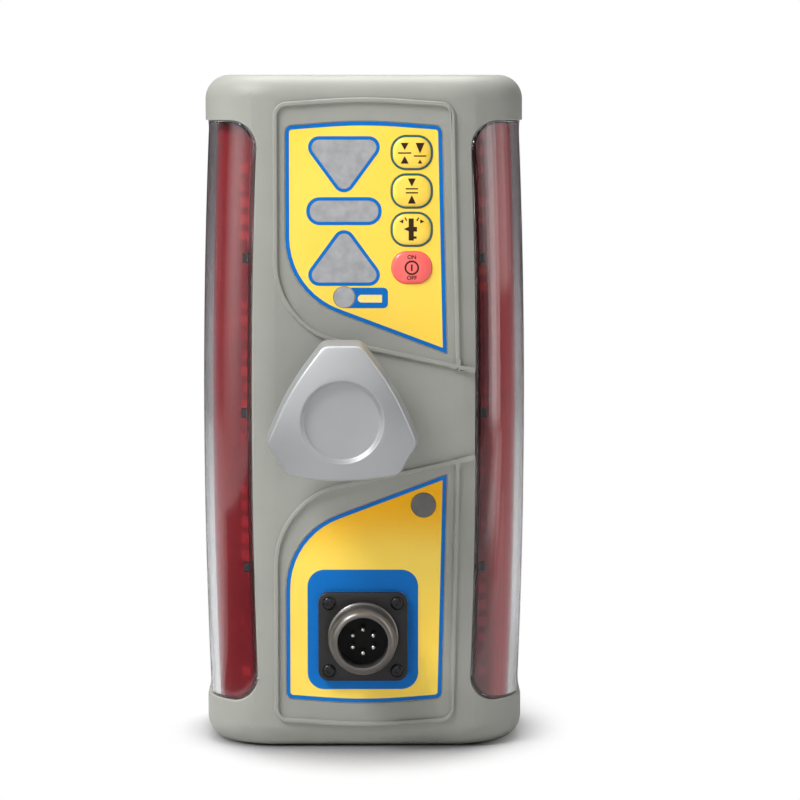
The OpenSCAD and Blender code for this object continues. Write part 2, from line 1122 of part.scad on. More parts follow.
module status_window() {
  window_plug() {
    status_outline(0);
    status_outline(rim_w);
  }
}

// Circuit boards

module board_plate(top, low) {
  difference() {
    translate([-board_half_w, board_y, mid_z + low])
      cube([2 * board_half_w, pcb_t, top - low]);
    board_corners(top, low)
      rod_y(board_y - overrun, board_y + pcb_t + overrun, board_screw_r + screw_gap);
  }
}

module display_board() {
  placed()
    color(board_green)
      board_plate(display_board_top, display_board_low);
}

module power_board() {
  placed()
    color(board_green)
      board_plate(power_board_top, power_board_low);
}

module board_screws() {
  placed()
    color(steel)
      all_board_corners()
        translate([0, board_y + pcb_t, 0])
          mirror([0, 1, 0])
            screw(board_screw_r, board_y + pcb_t - wall - move_gap, board_head_r, board_head_t);
}

module led_at(x, up) {
  translate([x, 0, mid_z + up])
    rod_y(wall + rim_t + led_gap, board_y, led_r);
}

module indicator_leds() {
  placed()
    color(clear_grey)
      union() {
        for (k = [-1, 0, 1]) {
          led_at(display_x + k * led_pitch, display_up + arrow_base_up - led_pitch);
          led_at(display_x + k * led_pitch, display_up);
          led_at(display_x + k * led_pitch, display_up - arrow_base_up + led_pitch);
        }
        led_at(display_x, lamp_up);
        led_at(status_x, -status_drop);
      }
}

module key_switches() {
  placed()
    color(dark_metal)
      for (i = [0:3])
        translate([key_x, 0, mid_z + key_up(i)]) {
          along_y(switch_top + switch_plunger_t, board_y)
            square([switch_w, switch_w], center = true);
          rod_y(switch_top, switch_top + switch_plunger_t, switch_plunger_r);
        }
}

module plumb_sensor() {
  placed()
    color(steel)
      translate([sensor_x, 0, mid_z + sensor_up])
        rod_y(board_y + pcb_t, board_y + pcb_t + sensor_h, sensor_r);
}

// Keys

module key_cap(i, colour) {
  crest = overlay_front - key_rise;
  placed()
    color(colour)
      translate([0, 0, mid_z]) {
        intersection() {
          along_y(crest, wall + move_gap)
            key_outline(i, 0);
          translate([key_x, crest + key_dome_r, key_up(i)])
            sphere(key_dome_r);
        }
        along_y(wall + move_gap, key_back)
          key_outline(i, key_flange_w);
      }
}

module key_deadband() {
  key_cap(0, panel_yellow);
}

module key_on_grade() {
  key_cap(1, panel_yellow);
}

module key_plumb() {
  key_cap(2, panel_yellow);
}

module key_power() {
  key_cap(3, power_red);
}

// Connector

module on_plug() {
  placed()
    translate([plug_x, 0, plug_z])
      children();
}

module flange_outline() {
  difference() {
    rounded_rect(flange_w, flange_w, flange_corner_r);
    for (sx = [-1, 1])
      for (sz = [-1, 1])
        translate([sx * flange_pitch / 2, sz * flange_pitch / 2])
          circle(plug_screw_r + screw_gap);
  }
}

module connector_shell() {
  on_plug()
    color(dark_metal) {
      difference() {
        union() {
          along_y(flange_front, flange_front + flange_t)
            flange_outline();
          rod_y(flange_front - collar_t, flange_front, collar_r);
          rod_y(plug_nose_t - plug_reach, flange_front - collar_t, plug_r);
          cone_y(-plug_reach, plug_nose_t - plug_reach, plug_r - plug_nose_w, plug_r);
          rod_y(flange_front + flange_t, plug_rear, plug_rear_r);
        }
        rod_y(-plug_reach - overrun, plug_rear + overrun, plug_bore_r);
      }
      along_y(-plug_reach + key_rib_t, insert_front - slip)
        translate([-key_rib_w / 2, plug_bore_r - key_rib_t])
          square([key_rib_w, key_rib_t + key_rib_root]);
    }
}

module pin_places() {
  for (i = [0:pin_count - 1])
    rotate([0, i * 360 / pin_count, 0])
      translate([0, 0, pin_ring_r])
        children();
}

module connector_insert() {
  on_plug()
    color(rubber_black)
      difference() {
        rod_y(insert_front, plug_rear, plug_bore_r - slip);
        pin_places()
          rod_y(insert_front - overrun, plug_rear + overrun, pin_r + slip);
      }
}

module connector_pins() {
  on_plug()
    color(gold)
      pin_places() {
        rod_y(pin_tip + pin_r, plug_rear + pin_tail, pin_r);
        translate([0, pin_tip + pin_r, 0])
          sphere(pin_r);
      }
}

module connector_gasket() {
  on_plug()
    color(rubber_black)
      along_y(flange_front + flange_t, overlay_front)
        difference() {
          flange_outline();
          circle(plug_rear_r + fit_gap);
        }
}

module connector_screws() {
  shank = plug_screw_bite - overrun - flange_front - move_gap;
  placed()
    color(dark_metal)
      plug_corners()
        translate([0, flange_front, 0])
          screw(plug_screw_r, shank, plug_head_r, plug_head_t);
}

// Clamp

// Three convex sides and three corner flats, seen from the front.
knob_points = [
  for (a = [90, 210, 330])
    each [
      polar(knob_flat_r, a) - polar(knob_flat_half_w, a + 90),
      polar(knob_flat_r, a) + polar(knob_flat_half_w, a + 90),
      polar(knob_waist_r + knob_bow_t, a + 60),
    ]
];
knob_radii = [for (k = [0:2]) each [knob_corner_r, knob_corner_r, knob_side_r]];

module knob_outline(grow) {
  stepped_outline(knob_points, knob_radii, grow);
}

// Extrudes an outline between two depths, with its front end smaller than its back end.
module drafted_y(from, to, front_scale) {
  rotate([90, 0, 0])
    translate([0, 0, -to])
      linear_extrude(to - from, scale = front_scale)
        children();
}

module clamp_knob() {
  placed()
    color(knob_grey)
      on_axis()
        difference() {
          drafted_y(-knob_front, -knob_gap, knob_flat_r / (knob_flat_r + knob_draft))
            knob_outline(knob_draft);
          difference() {
            along_y(-knob_front + knob_front_t, -knob_gap + overrun)
              knob_outline(-knob_wall);
            rod_y(-knob_front, -knob_gap + overrun, knob_hub_r);
          }
          cone_y(-knob_front - recess_t, -knob_front + recess_t, recess_mouth_r, recess_floor_r);
          rod_y(-knob_front + knob_front_t, -knob_gap + overrun, screw_r + slip);
          knob_pin_rod(knob_pin_r + slip, overrun);
        }
}

module knob_pin_rod(r, extra) {
  translate([-knob_hub_r - extra, -knob_front + knob_pin_y, 0])
    rotate([0, 90, 0])
      cylinder(h = 2 * (knob_hub_r + extra), r = r);
}

module knob_pin() {
  placed()
    color(steel)
      on_axis()
        knob_pin_rod(knob_pin_r, 0);
}

module clamp_screw() {
  journal_end = jaw_y + jaw_t - move_gap;
  placed()
    color(steel)
      on_axis()
        difference() {
          union() {
            rod_y(-knob_front + knob_front_t + slip, jaw_y - move_gap, screw_r);
            rod_y(jaw_y - move_gap, journal_end, journal_r);
          }
          knob_pin_rod(knob_pin_r + slip, overrun);
        }
}

module screw_clip() {
  start = jaw_y + jaw_t - clip_bore_t + move_gap;
  placed()
    color(steel)
      on_axis()
        tube_y(start, start + clip_t, clip_r, journal_r + slip / 2);
}

module screw_bush() {
  placed()
    color(gold)
      on_axis()
        difference() {
          union() {
            rod_y(0, pocket_y, bush_r);
            rod_y(pocket_y, pocket_y + bush_flange_t, bush_flange_r);
          }
          rod_y(-overrun, jaw_y, screw_r + slip);
        }
}

module bush_nut() {
  from = pocket_y - wall - nut_t;
  placed()
    color(steel)
      on_axis()
        difference() {
          translate([0, from, 0])
            rotate([-90, 0, 0])
              cylinder(h = nut_t, r = nut_across / (2 * cos(30)), $fn = 6);
          rod_y(from - overrun, pocket_y, bush_r + slip);
        }
}

module bush_seal() {
  placed()
    color(rubber_black)
      on_axis()
        tube_y(wall, wall + seal_ring_t, bush_r + seal_ring_w, bush_r + slip);
}

module jaw_outline() {
  rounded_rect(2 * jaw_half_w, 2 * jaw_half_h, jaw_corner_r);
}

module clamp_jaw() {
  placed()
    color(cast_grey)
      on_axis()
        difference() {
          along_y(jaw_y, jaw_y + jaw_t)
            jaw_outline();
          rod_y(jaw_y - overrun, jaw_y + jaw_t + overrun, journal_r + slip);
          rod_y(jaw_y + jaw_t - clip_bore_t, jaw_y + jaw_t + overrun, clip_bore_r);
          for (end = [-1, 1])
            translate([0, 0, end * guide_rise])
              rod_y(jaw_y - overrun, jaw_y + guide_bite, guide_r + slip / 2);
        }
}

module jaw_guides() {
  placed()
    color(steel)
      on_axis()
        for (end = [-1, 1])
          translate([0, 0, end * guide_rise])
            rod_y(jaw_y - guide_l, jaw_y + guide_bite, guide_r);
}

module jaw_pad() {
  placed()
    color(rubber_black)
      difference() {
        on_axis()
          along_y(jaw_y + jaw_t, mast_y - sqrt(pow(hook_r + pad_gap, 2) - pow(jaw_half_w, 2)))
            jaw_outline();
        translate([clamp_x, mast_y, 0])
          cylinder(h = body_h, r = hook_r + pad_gap);
      }
}

module ring_sector(inner, outer, from, to) {
  intersection() {
    difference() {
      circle(outer);
      circle(inner);
    }
    polygon([[0, 0], for (a = [from, (from + to) / 2, to]) 2 * outer * [cos(a), sin(a)]]);
  }
}

// The hook in plan, about the mast's axis.
module hook_plan() {
  mid_r = hook_r + hook_t / 2;
  ring_sector(hook_r, hook_r + hook_t, hook_from, hook_to);
  translate(mid_r * [cos(hook_to), sin(hook_to)])
    circle(hook_t / 2);
  difference() {
    union() {
      translate([hook_r, body_d - mast_y])
        square([hook_t, mast_y - body_d]);
      translate([foot_x - clamp_x, body_d - mast_y])
        square([foot_w, foot_t]);
    }
    circle(hook_r);
  }
}

module mast_hook() {
  placed()
    color(cast_grey)
      difference() {
        translate([clamp_x, mast_y, mid_z - hook_h / 2])
          linear_extrude(hook_h)
            hook_plan();
        hook_screw_places()
          rod_y(body_d - overrun, body_d + foot_t + overrun, hook_screw_r + screw_gap);
      }
}

module hook_screw_places() {
  for (k = [-1, 0, 1])
    translate([hook_screw_x, 0, mid_z + k * hook_screw_pitch])
      children();
}

module hook_screws() {
  placed()
    color(steel)
      hook_screw_places()
        translate([0, body_d + foot_t, 0])
          mirror([0, 1, 0])
            screw(hook_screw_r, foot_t + hook_screw_bite - move_gap, hook_head_r, hook_head_t);
}

// Power

module cell_columns() {
  for (side = [-1, 1])
    translate([clamp_x + side * cell_off, cell_y, 0])
      children();
}

// A trough behind one column of cells, on two legs that stand on the jaw pocket's back.
module battery_tray(side) {
  half_w = cell_r + cell_gap + tray_side;
  placed()
    color(rubber_black) {
      difference() {
        translate([clamp_x + side * cell_off - half_w, cell_y, tray_low])
          cube([2 * half_w, tray_back - cell_y, tray_h]);
        translate([clamp_x + side * cell_off, cell_y, tray_low + tray_end])
          cylinder(h = cell_stack, r = cell_r + cell_gap);
      }
      for (end = [-1, 1])
        translate([clamp_x + side * tray_leg_off, 0, mid_z + end * tray_leg_rise])
          rod_y(tray_back - tray_floor / 2, pocket_y - wall, tray_leg_r);
    }
}

module battery_tray_left() {
  battery_tray(-1);
}

module battery_tray_right() {
  battery_tray(1);
}

module battery_cells() {
  placed()
    color(cell_green)
      cell_columns()
        for (i = [0, 1])
          translate([0, 0, tray_low + tray_end + contact_t + i * cell_l]) {
            cylinder(h = cell_l - terminal_t, r = cell_r);
            translate([0, 0, cell_l - terminal_t])
              cylinder(h = terminal_t - cell_gap, r = terminal_r);
          }
}

module battery_contacts() {
  placed()
    color(gold)
      cell_columns()
        for (z = [tray_low + tray_end, tray_low + tray_end + cell_stack - contact_t])
          translate([-contact_w / 2, -contact_w / 2, z])
            cube([contact_w, contact_w, contact_t]);
}

front_case();
rear_case();
case_gasket();
case_screws();
lens_left();
lens_right();
lens_seal_left();
lens_seal_right();
lens_clips_left();
lens_clips_right();
red_filter_left();
red_filter_right();
photocell_board_left();
photocell_board_right();
photodiodes_left();
photodiodes_right();
display_overlay();
connector_overlay();
arrow_down_window();
grade_bar_window();
arrow_up_window();
battery_lamp_window();
status_window();
display_board();
power_board();
board_screws();
indicator_leds();
key_switches();
plumb_sensor();
key_deadband();
key_on_grade();
key_plumb();
key_power();
connector_shell();
connector_insert();
connector_pins();
connector_gasket();
connector_screws();
clamp_knob();
clamp_screw();
knob_pin();
screw_clip();
screw_bush();
bush_nut();
bush_seal();
clamp_jaw();
jaw_guides();
jaw_pad();
mast_hook();
hook_screws();
battery_tray_left();
battery_tray_right();
battery_cells();
battery_contacts();
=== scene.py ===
"""Laser receiver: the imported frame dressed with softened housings, printed panels, domed keys,
tinted side windows and a round connector, under plain studio light. Lengths are millimetres times MM."""
import json
import math

import bpy
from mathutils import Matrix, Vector


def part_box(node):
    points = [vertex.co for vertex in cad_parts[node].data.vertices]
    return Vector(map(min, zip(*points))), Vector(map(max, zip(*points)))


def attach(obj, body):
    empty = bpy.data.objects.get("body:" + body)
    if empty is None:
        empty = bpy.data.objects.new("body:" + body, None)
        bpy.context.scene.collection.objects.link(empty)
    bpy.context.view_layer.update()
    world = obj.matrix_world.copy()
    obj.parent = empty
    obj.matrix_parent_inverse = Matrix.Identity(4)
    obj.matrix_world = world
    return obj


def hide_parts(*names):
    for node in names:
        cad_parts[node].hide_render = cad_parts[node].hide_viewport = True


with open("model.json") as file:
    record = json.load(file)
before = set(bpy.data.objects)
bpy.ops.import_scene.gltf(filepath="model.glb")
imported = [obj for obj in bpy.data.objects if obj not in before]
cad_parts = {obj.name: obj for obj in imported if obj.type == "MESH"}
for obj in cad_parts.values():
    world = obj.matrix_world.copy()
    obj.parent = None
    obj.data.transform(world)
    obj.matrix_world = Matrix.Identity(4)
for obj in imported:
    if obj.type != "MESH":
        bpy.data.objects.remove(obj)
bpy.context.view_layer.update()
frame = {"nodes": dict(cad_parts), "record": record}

MM = 0.001
NODES = frame["nodes"]
RECORD = frame["record"]
SLOT_OF = {part["node"]: part["material_slot"] for part in RECORD["subparts"]}
BODY_OF = {node: body for body, nodes in RECORD["behaviour"]["bodies"].items() for node in nodes}

# Places read from the frame, in millimetres
FACE_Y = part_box("screw_bush")[0][1] / MM
OVERLAY_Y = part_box("display_overlay")[0][1] / MM
LOWER_OVERLAY_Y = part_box("connector_overlay")[0][1] / MM
BEAD_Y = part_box("front_case")[0][1] / MM
MID_Z = (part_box("front_case")[0][2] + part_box("front_case")[1][2]) / 2 / MM
FLANGE_T = 2
FLANGE_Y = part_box("connector_gasket")[0][1] / MM - FLANGE_T
SHELL_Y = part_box("connector_shell")[0][1] / MM
KNOB_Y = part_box("clamp_knob")[0][1] / MM

# Reading and mending CAD meshes: how close counts as touching or near, welds, and angles in degrees
TOUCH, NEAR = 0.01, 0.1
WELD, SHORT_EDGE = 0.002, 0.16
FLAT_ANGLE, FOLD_ANGLE = 0.05, 30

# Softened edges of the housings: width and steps
BEAD_EDGE, WINDOW_EDGE = (0.45, 4), (0.35, 3)
SOFT_EDGES = {"lens_left": (0.4, 3), "lens_right": (0.4, 3), "mast_hook": (0.8, 3),
              "clamp_jaw": (0.5, 2), "jaw_pad": (0.4, 2)}
WINDOW_X, WINDOW_BACK, WINDOW_HALF = 33, -5, 99.2

# Printing on the panels
INK_T = 0.04
BORDER_W = 1.45
BORDER_MARGIN = 0.08
OUTLINE_W = 1.15
KEY_RING_W = 0.6
PANEL_CORNERS = [(-26.5, 40.8), (28.05, 20.3), (26.3, 97), (0, 99), (-26.5, 97)]
PANEL_RADII = [27, 0.4, 2.5, 165, 2.5]
DISPLAY_X = -6.65
DISPLAY_UP = 68.4
ARROW_UP = 25.1
ARROW_W, ARROW_H, ARROW_R = 31.3, 21.3, 3.7
BAR_W, BAR_H, BAR_R = 25.3, 9.4, 4.55
LAMP_UP, LAMP_R, LAMP_GAP = 39.5, 3.55, 0.2
BLUE_PANEL_X, BLUE_PANEL_Z = -0.45, 40.65
BLUE_PANEL_W, BLUE_PANEL_H, BLUE_PANEL_R = 37.5, 40.9, 5.7
FLANGE_X, FLANGE_Z, FLANGE_W, FLANGE_R = -0.4, 38.5, 30.2, 3.6
FLANGE_EDGE, GROUND_GAP = 0.35, 0.05
SIGN_X, SIGN_TOP, SIGN_LOW, SIGN_R = 8.1, 42.7, 35.8, 1.55
SLOT_LEFT, SLOT_RIGHT, SLOT_TOP, SLOT_LOW = -2.05, 6.1, 40.3, 37.7
SLOT_R, SLOT_CORNER = 1.25, 0.1

# Heights between which a painted shadow of the knob deepens the yellow of the lower panel toward orange
KNOB_SHADOW_SPAN = (62, 85)

# Keys
KEY_W, KEY_H, KEY_R = 13.95, 11.55, 5.1
POWER_W, POWER_H = 13.6, 10.9
KEY_SKIRT = 4.2
KEY_RIM = (KEY_RING_W, 0.02)
KEY_DOME = [(0.12, 0.24), (0.25, 0.28), (0.45, 0.22), (0.75, 0.14), (1.1, 0.08)]
KEY_EDGE_RISE = 0.08
SIGN_LINE, SIGN_LIFT, SIGN_CUTS = 0.45, 5, 8
LETTER_SIZE, LETTER_GROW = 1.9, 0.05
WORD_UP, WORD_DOWN = 3.5, 3.45
POWER_RING_RADII = (2.45, 1.85)
POWER_BAR_HALF_W, POWER_BAR_HALF_H = 0.28, 1.1

# Knob, about the axis of its screw
KNOB_X = (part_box("clamp_screw")[0][0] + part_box("clamp_screw")[1][0]) / 2 / MM
KNOB_Z = (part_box("clamp_screw")[0][2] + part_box("clamp_screw")[1][2]) / 2 / MM
KNOB_WALL, KNOB_HOLLOW, KNOB_BACK_EDGE = 3, 7, 0.4
KNOB_EDGE, KNOB_EDGE_TURNS = 0.7, (0, 25, 50, 72, 90)
KNOB_SAG, KNOB_REACH = 4.4, 26
KNOB_POINTS, KNOB_STEPS = 168, 8
RECESS_R, RECESS_FLOOR_R, RECESS_T, RECESS_LIP = 13.7, 12.5, 2.1, 0.3
RECESS_PROFILE = [
    (RECESS_R + 0.1, 0.06), (RECESS_R - 0.1, 0.22), (RECESS_FLOOR_R + 0.25, RECESS_T - 0.2),
    (RECESS_FLOOR_R, RECESS_T - 0.04), (RECESS_FLOOR_R - 0.35, RECESS_T), (6, RECESS_T), (1.5, RECESS_T),
]

# Cells behind the red filter, and where its tone changes, from the middle of the case outwards; the paler
# outer side of the right-hand filter is a painted highlight
CELL_PITCH = 5.7
CELL_INNER, CELL_OUTER, CELL_SHARES = (37.9, 38.7), (41.6, 40.6), (0.42, 0.16)
FILTER_OUTER, FILTER_RIGHT_HIGHLIGHT = (41, 50), (40, 46)
PATCH_SCALE, PATCH_SHARES = 90, (0.42, 0.6)

# Connector screws
SCREW_PITCH, SCREW_HEAD_R, SCREW_HEAD_T = 23, 2.2, 1.2
SCREW_ROUND, SCREW_ROUND_STEPS = 0.9, 5
SOCKET_WALL, SOCKET_TAPER, SOCKET_DEPTH = 0.45, 0.05, 0.8

# Connector shell about its axis
BORE_R, NOSE_R, BARREL_R, GROOVE_R, COLLAR_R = 8.45, 8.9, 11.3, 11.0, 11.9
NOSE_LENGTH, BORE_FOOT = 4.2, 0.9
LIP_R, LIP_NEAR, LIP_FAR = 0.12, 0.1, 0.35
GROOVE_TOP, GROOVE_NEAR, GROOVE_FAR = 2.6, 2.3, 1.75
COLLAR_TOP, COLLAR_EDGE, COLLAR_FOOT = 1.6, 0.3, 1.2

# The line bead stands this many times as proud as in the solid; its runs meet at these places
BEAD_LIFT = 1.6
BEAD_MEET_X, BEAD_MEET_UP = 29.2, 18.6

# Screw bosses behind the four corners of the front case
BOSS_X, BOSS_UP, BOSS_R, BOSS_Y = 35.64, 104.5, 4.0, -45.0
BOSS_FIT, BOSS_RISE, BOSS_NEAR, BOSS_WELD = 0.06, 0.9, 0.3, 0.05

# Paper, in metres: its size, how far its painted shadow is felt, and the ellipse past which the camera sees
# white.
# The shares say between which values the shadow fades out and the white comes in
FLOOR_SIZE, SWEEP_H = 8, 4
SHADOW_REACH = 0.048
SHADOW_SHARES = (0.35, 1.0)
SHADOW_HALF = (0.074, 0.12, 1.0)
WHITE_SHARES = (0.6, 1.0)

# Studio, in metres: where the lamps aim, the light from all round, and the hem of a card
MIDDLE = (0, 0, 0.11)
AMBIENT = 0.27
CARD_HEM = 0.02

# Camera, fitted to the photograph
CAMERA_AT = (0.0023, -1.2465, 0.226)
CAMERA_PITCH = 0.0891
CAMERA_YAW = 0.0082
CAMERA_LENS = 160.8
CAMERA_SENSOR = 36.0


# Selecting and opening meshes

def rest_tools():
    """Leaves edit mode and lets go of everything."""
    if bpy.context.mode != "OBJECT":
        bpy.ops.object.mode_set(mode="OBJECT")
    bpy.ops.object.select_all(action="DESELECT")


def hold(piece):
    """Makes one piece the only selected one."""
    rest_tools()
    piece.select_set(True)
    bpy.context.view_layer.objects.active = piece


def open_mesh(piece, kind="VERT", action="SELECT"):
    """Goes into edit mode on one piece, with all of it selected or none."""
    hold(piece)
    bpy.ops.object.mode_set(mode="EDIT")
    bpy.ops.mesh.select_mode(type=kind)
    bpy.ops.mesh.select_all(action=action)


def close_mesh():
    """Goes back to object mode."""
    bpy.ops.object.mode_set(mode="OBJECT")


def choose_faces(piece, test):
    """Opens a piece with only the faces selected whose middle and normal pass the test, in millimetres."""
    open_mesh(piece, "FACE", "DESELECT")
    close_mesh()
    for face in piece.data.polygons:
        face.select = test(face.center / MM, face.normal)
    bpy.ops.object.mode_set(mode="EDIT")


def choose_sharp_edges(piece, test):
    """Opens a piece with only those sharp edges selected whose two ends pass the test, in millimetres."""
    open_mesh(piece, "EDGE", "DESELECT")
    bpy.ops.mesh.edges_select_sharp(sharpness=math.radians(FOLD_ANGLE))
    close_mesh()
    vertices = piece.data.vertices
    for edge in piece.data.edges:
        if edge.select:
            edge.select = all(test(vertices[i].co / MM) for i in edge.vertices)
    bpy.ops.object.mode_set(mode="EDIT")


def smooth(piece, angle=35):
    """Smooth shading with the sharp folds kept."""
    hold(piece)
    bpy.ops.object.shade_smooth_by_angle(angle=math.radians(angle))


def level_shading(piece):
    """Lets large flat faces lead the shading of the soft edges round them."""
    hold(piece)
    bpy.ops.object.modifier_add(type="WEIGHTED_NORMAL")
    piece.modifiers[-1].keep_sharp = True
    bpy.ops.object.modifier_apply(modifier=piece.modifiers[-1].name)


# Making pieces

def settle(piece, body, material, replaced=()):
    """Paints a finished piece and lets it ride on its body."""
    piece.data.materials.clear()
    piece.data.materials.append(material)
    if replaced:
        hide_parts(*replaced)
    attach(piece, body)
    return piece


def loop_of(name, points, y, fill):
    """A ring of points (x, z) in the plane y, as an edge loop or as one face that looks to the front."""
    rest_tools()
    bpy.ops.mesh.primitive_circle_add(vertices=len(points), radius=MM, fill_type=fill)
    piece = bpy.context.object
    piece.name = name
    for vertex, (x, z) in zip(piece.data.vertices, points):
        vertex.co = (x * MM, y * MM, z * MM)
    piece.data.update()
    if fill == "NGON" and piece.data.polygons[0].normal.y > 0:
        open_mesh(piece, "FACE")
        bpy.ops.mesh.flip_normals()
        close_mesh()
    return piece


def merge(pieces, name):
    """Joins pieces into one mesh."""
    hold(pieces[0])
    for piece in pieces[1:]:
        piece.select_set(True)
    if len(pieces) > 1:
        bpy.ops.object.join()
    pieces[0].name = name
    return pieces[0]


def thicken(piece, depth):
    """Extrudes a flat piece along Y and turns its faces outwards."""
    open_mesh(piece, "FACE")
    bpy.ops.mesh.extrude_region_move(TRANSFORM_OT_translate={"value": (0, depth * MM, 0)})
    bpy.ops.mesh.select_all(action="SELECT")
    bpy.ops.mesh.normals_make_consistent(inside=False)
    close_mesh()
    return piece


def plate(name, points, front, depth):
    """A solid with the outline points, from its front face back by depth."""
    return thicken(loop_of(name, points, front, "NGON"), depth)


def band(name, outer, inner, front, depth):
    """A flat ring between two outlines of the same number of points."""
    loops = [loop_of(name, points, front, "NOTHING") for points in (outer, inner)]
    ring = merge(loops, name)
    open_mesh(ring, "EDGE")
    bpy.ops.mesh.bridge_edge_loops()
    close_mesh()
    return thicken(ring, depth)


def dressed(node, soft_edges, angle=35, tidy=None, prepare=None, mend=None):
    """A copy of a CAD node with softened edges: each entry gives a width, its steps and a test of place.
    Very short edges are merged first where the tidy test says so, then the mesh is prepared, and a mend
    of it comes after the softening."""
    piece = bpy.data.objects.new(node + "_dressed", NODES[node].data.copy())
    bpy.context.scene.collection.objects.link(piece)
    hold(piece)
    bpy.ops.mesh.customdata_custom_splitnormals_clear()
    open_mesh(piece)
    bpy.ops.mesh.remove_doubles(threshold=WELD * MM)
    bpy.ops.mesh.dissolve_limited(angle_limit=math.radians(FLAT_ANGLE))
    if tidy:
        bpy.ops.mesh.select_all(action="DESELECT")
        close_mesh()
        for vertex in piece.data.vertices:
            vertex.select = tidy(vertex.co / MM)
        bpy.ops.object.mode_set(mode="EDIT")
        bpy.ops.mesh.remove_doubles(threshold=SHORT_EDGE * MM)
    close_mesh()
    if prepare:
        prepare(piece)
    for width, steps, test in soft_edges:
        choose_sharp_edges(piece, test)
        bpy.ops.mesh.bevel(offset=width * MM, segments=steps, affect="EDGES", clamp_overlap=False)
    close_mesh()
    if mend:
        mend(piece)
    smooth(piece, angle)
    level_shading(piece)
    return piece


def everywhere(place):
    """A test that every place passes."""
    return True


# Outlines as lists of points

def corner_arc(points, i, radius, steps):
    """The rounded corner i of an outline, as points from its one edge to its other."""
    corner = Vector(points[i])
    after = (Vector(points[(i + 1) % len(points)]) - corner).normalized()
    before = (Vector(points[i - 1]) - corner).normalized()
    half = after.angle(before) / 2
    centre = corner + (after + before).normalized() * radius / math.sin(half)
    start = corner + before * radius / math.tan(half) - centre
    turn = (math.pi - 2 * half) / steps
    first = math.atan2(start.y, start.x)
    return [(centre.x + radius * math.cos(first + k * turn), centre.y + radius * math.sin(first + k * turn))
            for k in range(steps + 1)]


def grown(points, grow):
    """An outline's corners moved outwards by grow."""
    moved = []
    for i, point in enumerate(points):
        corner = Vector(point)
        after = (Vector(points[(i + 1) % len(points)]) - corner).normalized()
        before = (Vector(points[i - 1]) - corner).normalized()
        moved.append(tuple(corner - (after + before) * grow / math.sin(after.angle(before))))
    return moved


def rounded(points, radii, grow=0.0, steps=10):
    """A rounded outline, counter-clockwise, moved outwards by grow."""
    corners = grown(points, grow)
    path = []
    for i, radius in enumerate(radii):
        path += corner_arc(corners, i, max(radius + grow, 0.05), steps)
    return path


def panel_path(grow, lower=False):
    """The overlay's outline; the lower overlay is its mirror image."""
    path = rounded(PANEL_CORNERS, PANEL_RADII, grow)
    return [(x, MID_Z - up) for x, up in path[::-1]] if lower else [(x, MID_Z + up) for x, up in path]


def box_path(x, z, width, height, radius, grow=0.0, steps=10):
    """A rounded rectangle about x and z, moved outwards by grow."""
    w, h = width / 2, height / 2
    corners = [(x - w, z - h), (x + w, z - h), (x + w, z + h), (x - w, z + h)]
    return rounded(corners, [radius] * 4, grow, steps)


def circle_path(x, z, radius, steps=48):
    """A circle about x and z."""
    return [(x + radius * math.cos(a), z + radius * math.sin(a))
            for a in (2 * math.pi * k / steps for k in range(steps))]


def arrow_path(pointing_up, grow):
    """An arrow window's outline with its printed edge, moved outwards by grow."""
    base = DISPLAY_UP - ARROW_UP if pointing_up else DISPLAY_UP + ARROW_UP
    tip = base + ARROW_H if pointing_up else base - ARROW_H
    corners = [(DISPLAY_X - ARROW_W / 2, base), (DISPLAY_X + ARROW_W / 2, base), (DISPLAY_X, tip)]
    if not pointing_up:
        corners.reverse()
    return [(x, MID_Z + up) for x, up in rounded(corners, [ARROW_R] * 3, grow)]


# Node groups shared by the materials

def new_group(name, inputs, outputs):
    """A shader node group with its input and output nodes."""
    group = bpy.data.node_groups.new(name, "ShaderNodeTree")
    for label, kind, value in inputs:
        group.interface.new_socket(label, in_out="INPUT", socket_type=kind).default_value = value
    for label, kind in outputs:
        group.interface.new_socket(label, in_out="OUTPUT", socket_type=kind)
    return group, group.nodes.new("NodeGroupInput"), group.nodes.new("NodeGroupOutput")


def object_noise(tree, scale_socket, detail):
    """Noise on Object coordinates whose scale comes from a socket."""
    place = tree.nodes.new("ShaderNodeTexCoord")
    noise = tree.nodes.new("ShaderNodeTexNoise")
    noise.inputs["Detail"].default_value = detail
    tree.links.new(place.outputs["Object"], noise.inputs["Vector"])
    tree.links.new(scale_socket, noise.inputs["Scale"])
    return noise


def tone_drift_group():
    """Two colours that drift into each other over the surface."""
    group, given, result = new_group(
        "tone_drift",
        [("Colour", "NodeSocketColor", (0.5, 0.5, 0.5, 1)), ("Drift", "NodeSocketColor", (0.4, 0.4, 0.4, 1)),
         ("Scale", "NodeSocketFloat", 60.0)],
        [("Colour", "NodeSocketColor")])
    noise = object_noise(group, given.outputs["Scale"], 4)
    spread = group.nodes.new("ShaderNodeMapRange")
    spread.inputs["From Min"].default_value = 0.35
    spread.inputs["From Max"].default_value = 0.65
    mix = group.nodes.new("ShaderNodeMix")
    mix.data_type = "RGBA"
    group.links.new(noise.outputs["Fac"], spread.inputs["Value"])
    group.links.new(spread.outputs["Result"], mix.inputs["Factor"])
    group.links.new(given.outputs["Colour"], mix.inputs["A"])
    group.links.new(given.outputs["Drift"], mix.inputs["B"])
    group.links.new(mix.outputs["Result"], result.inputs["Colour"])
    return group


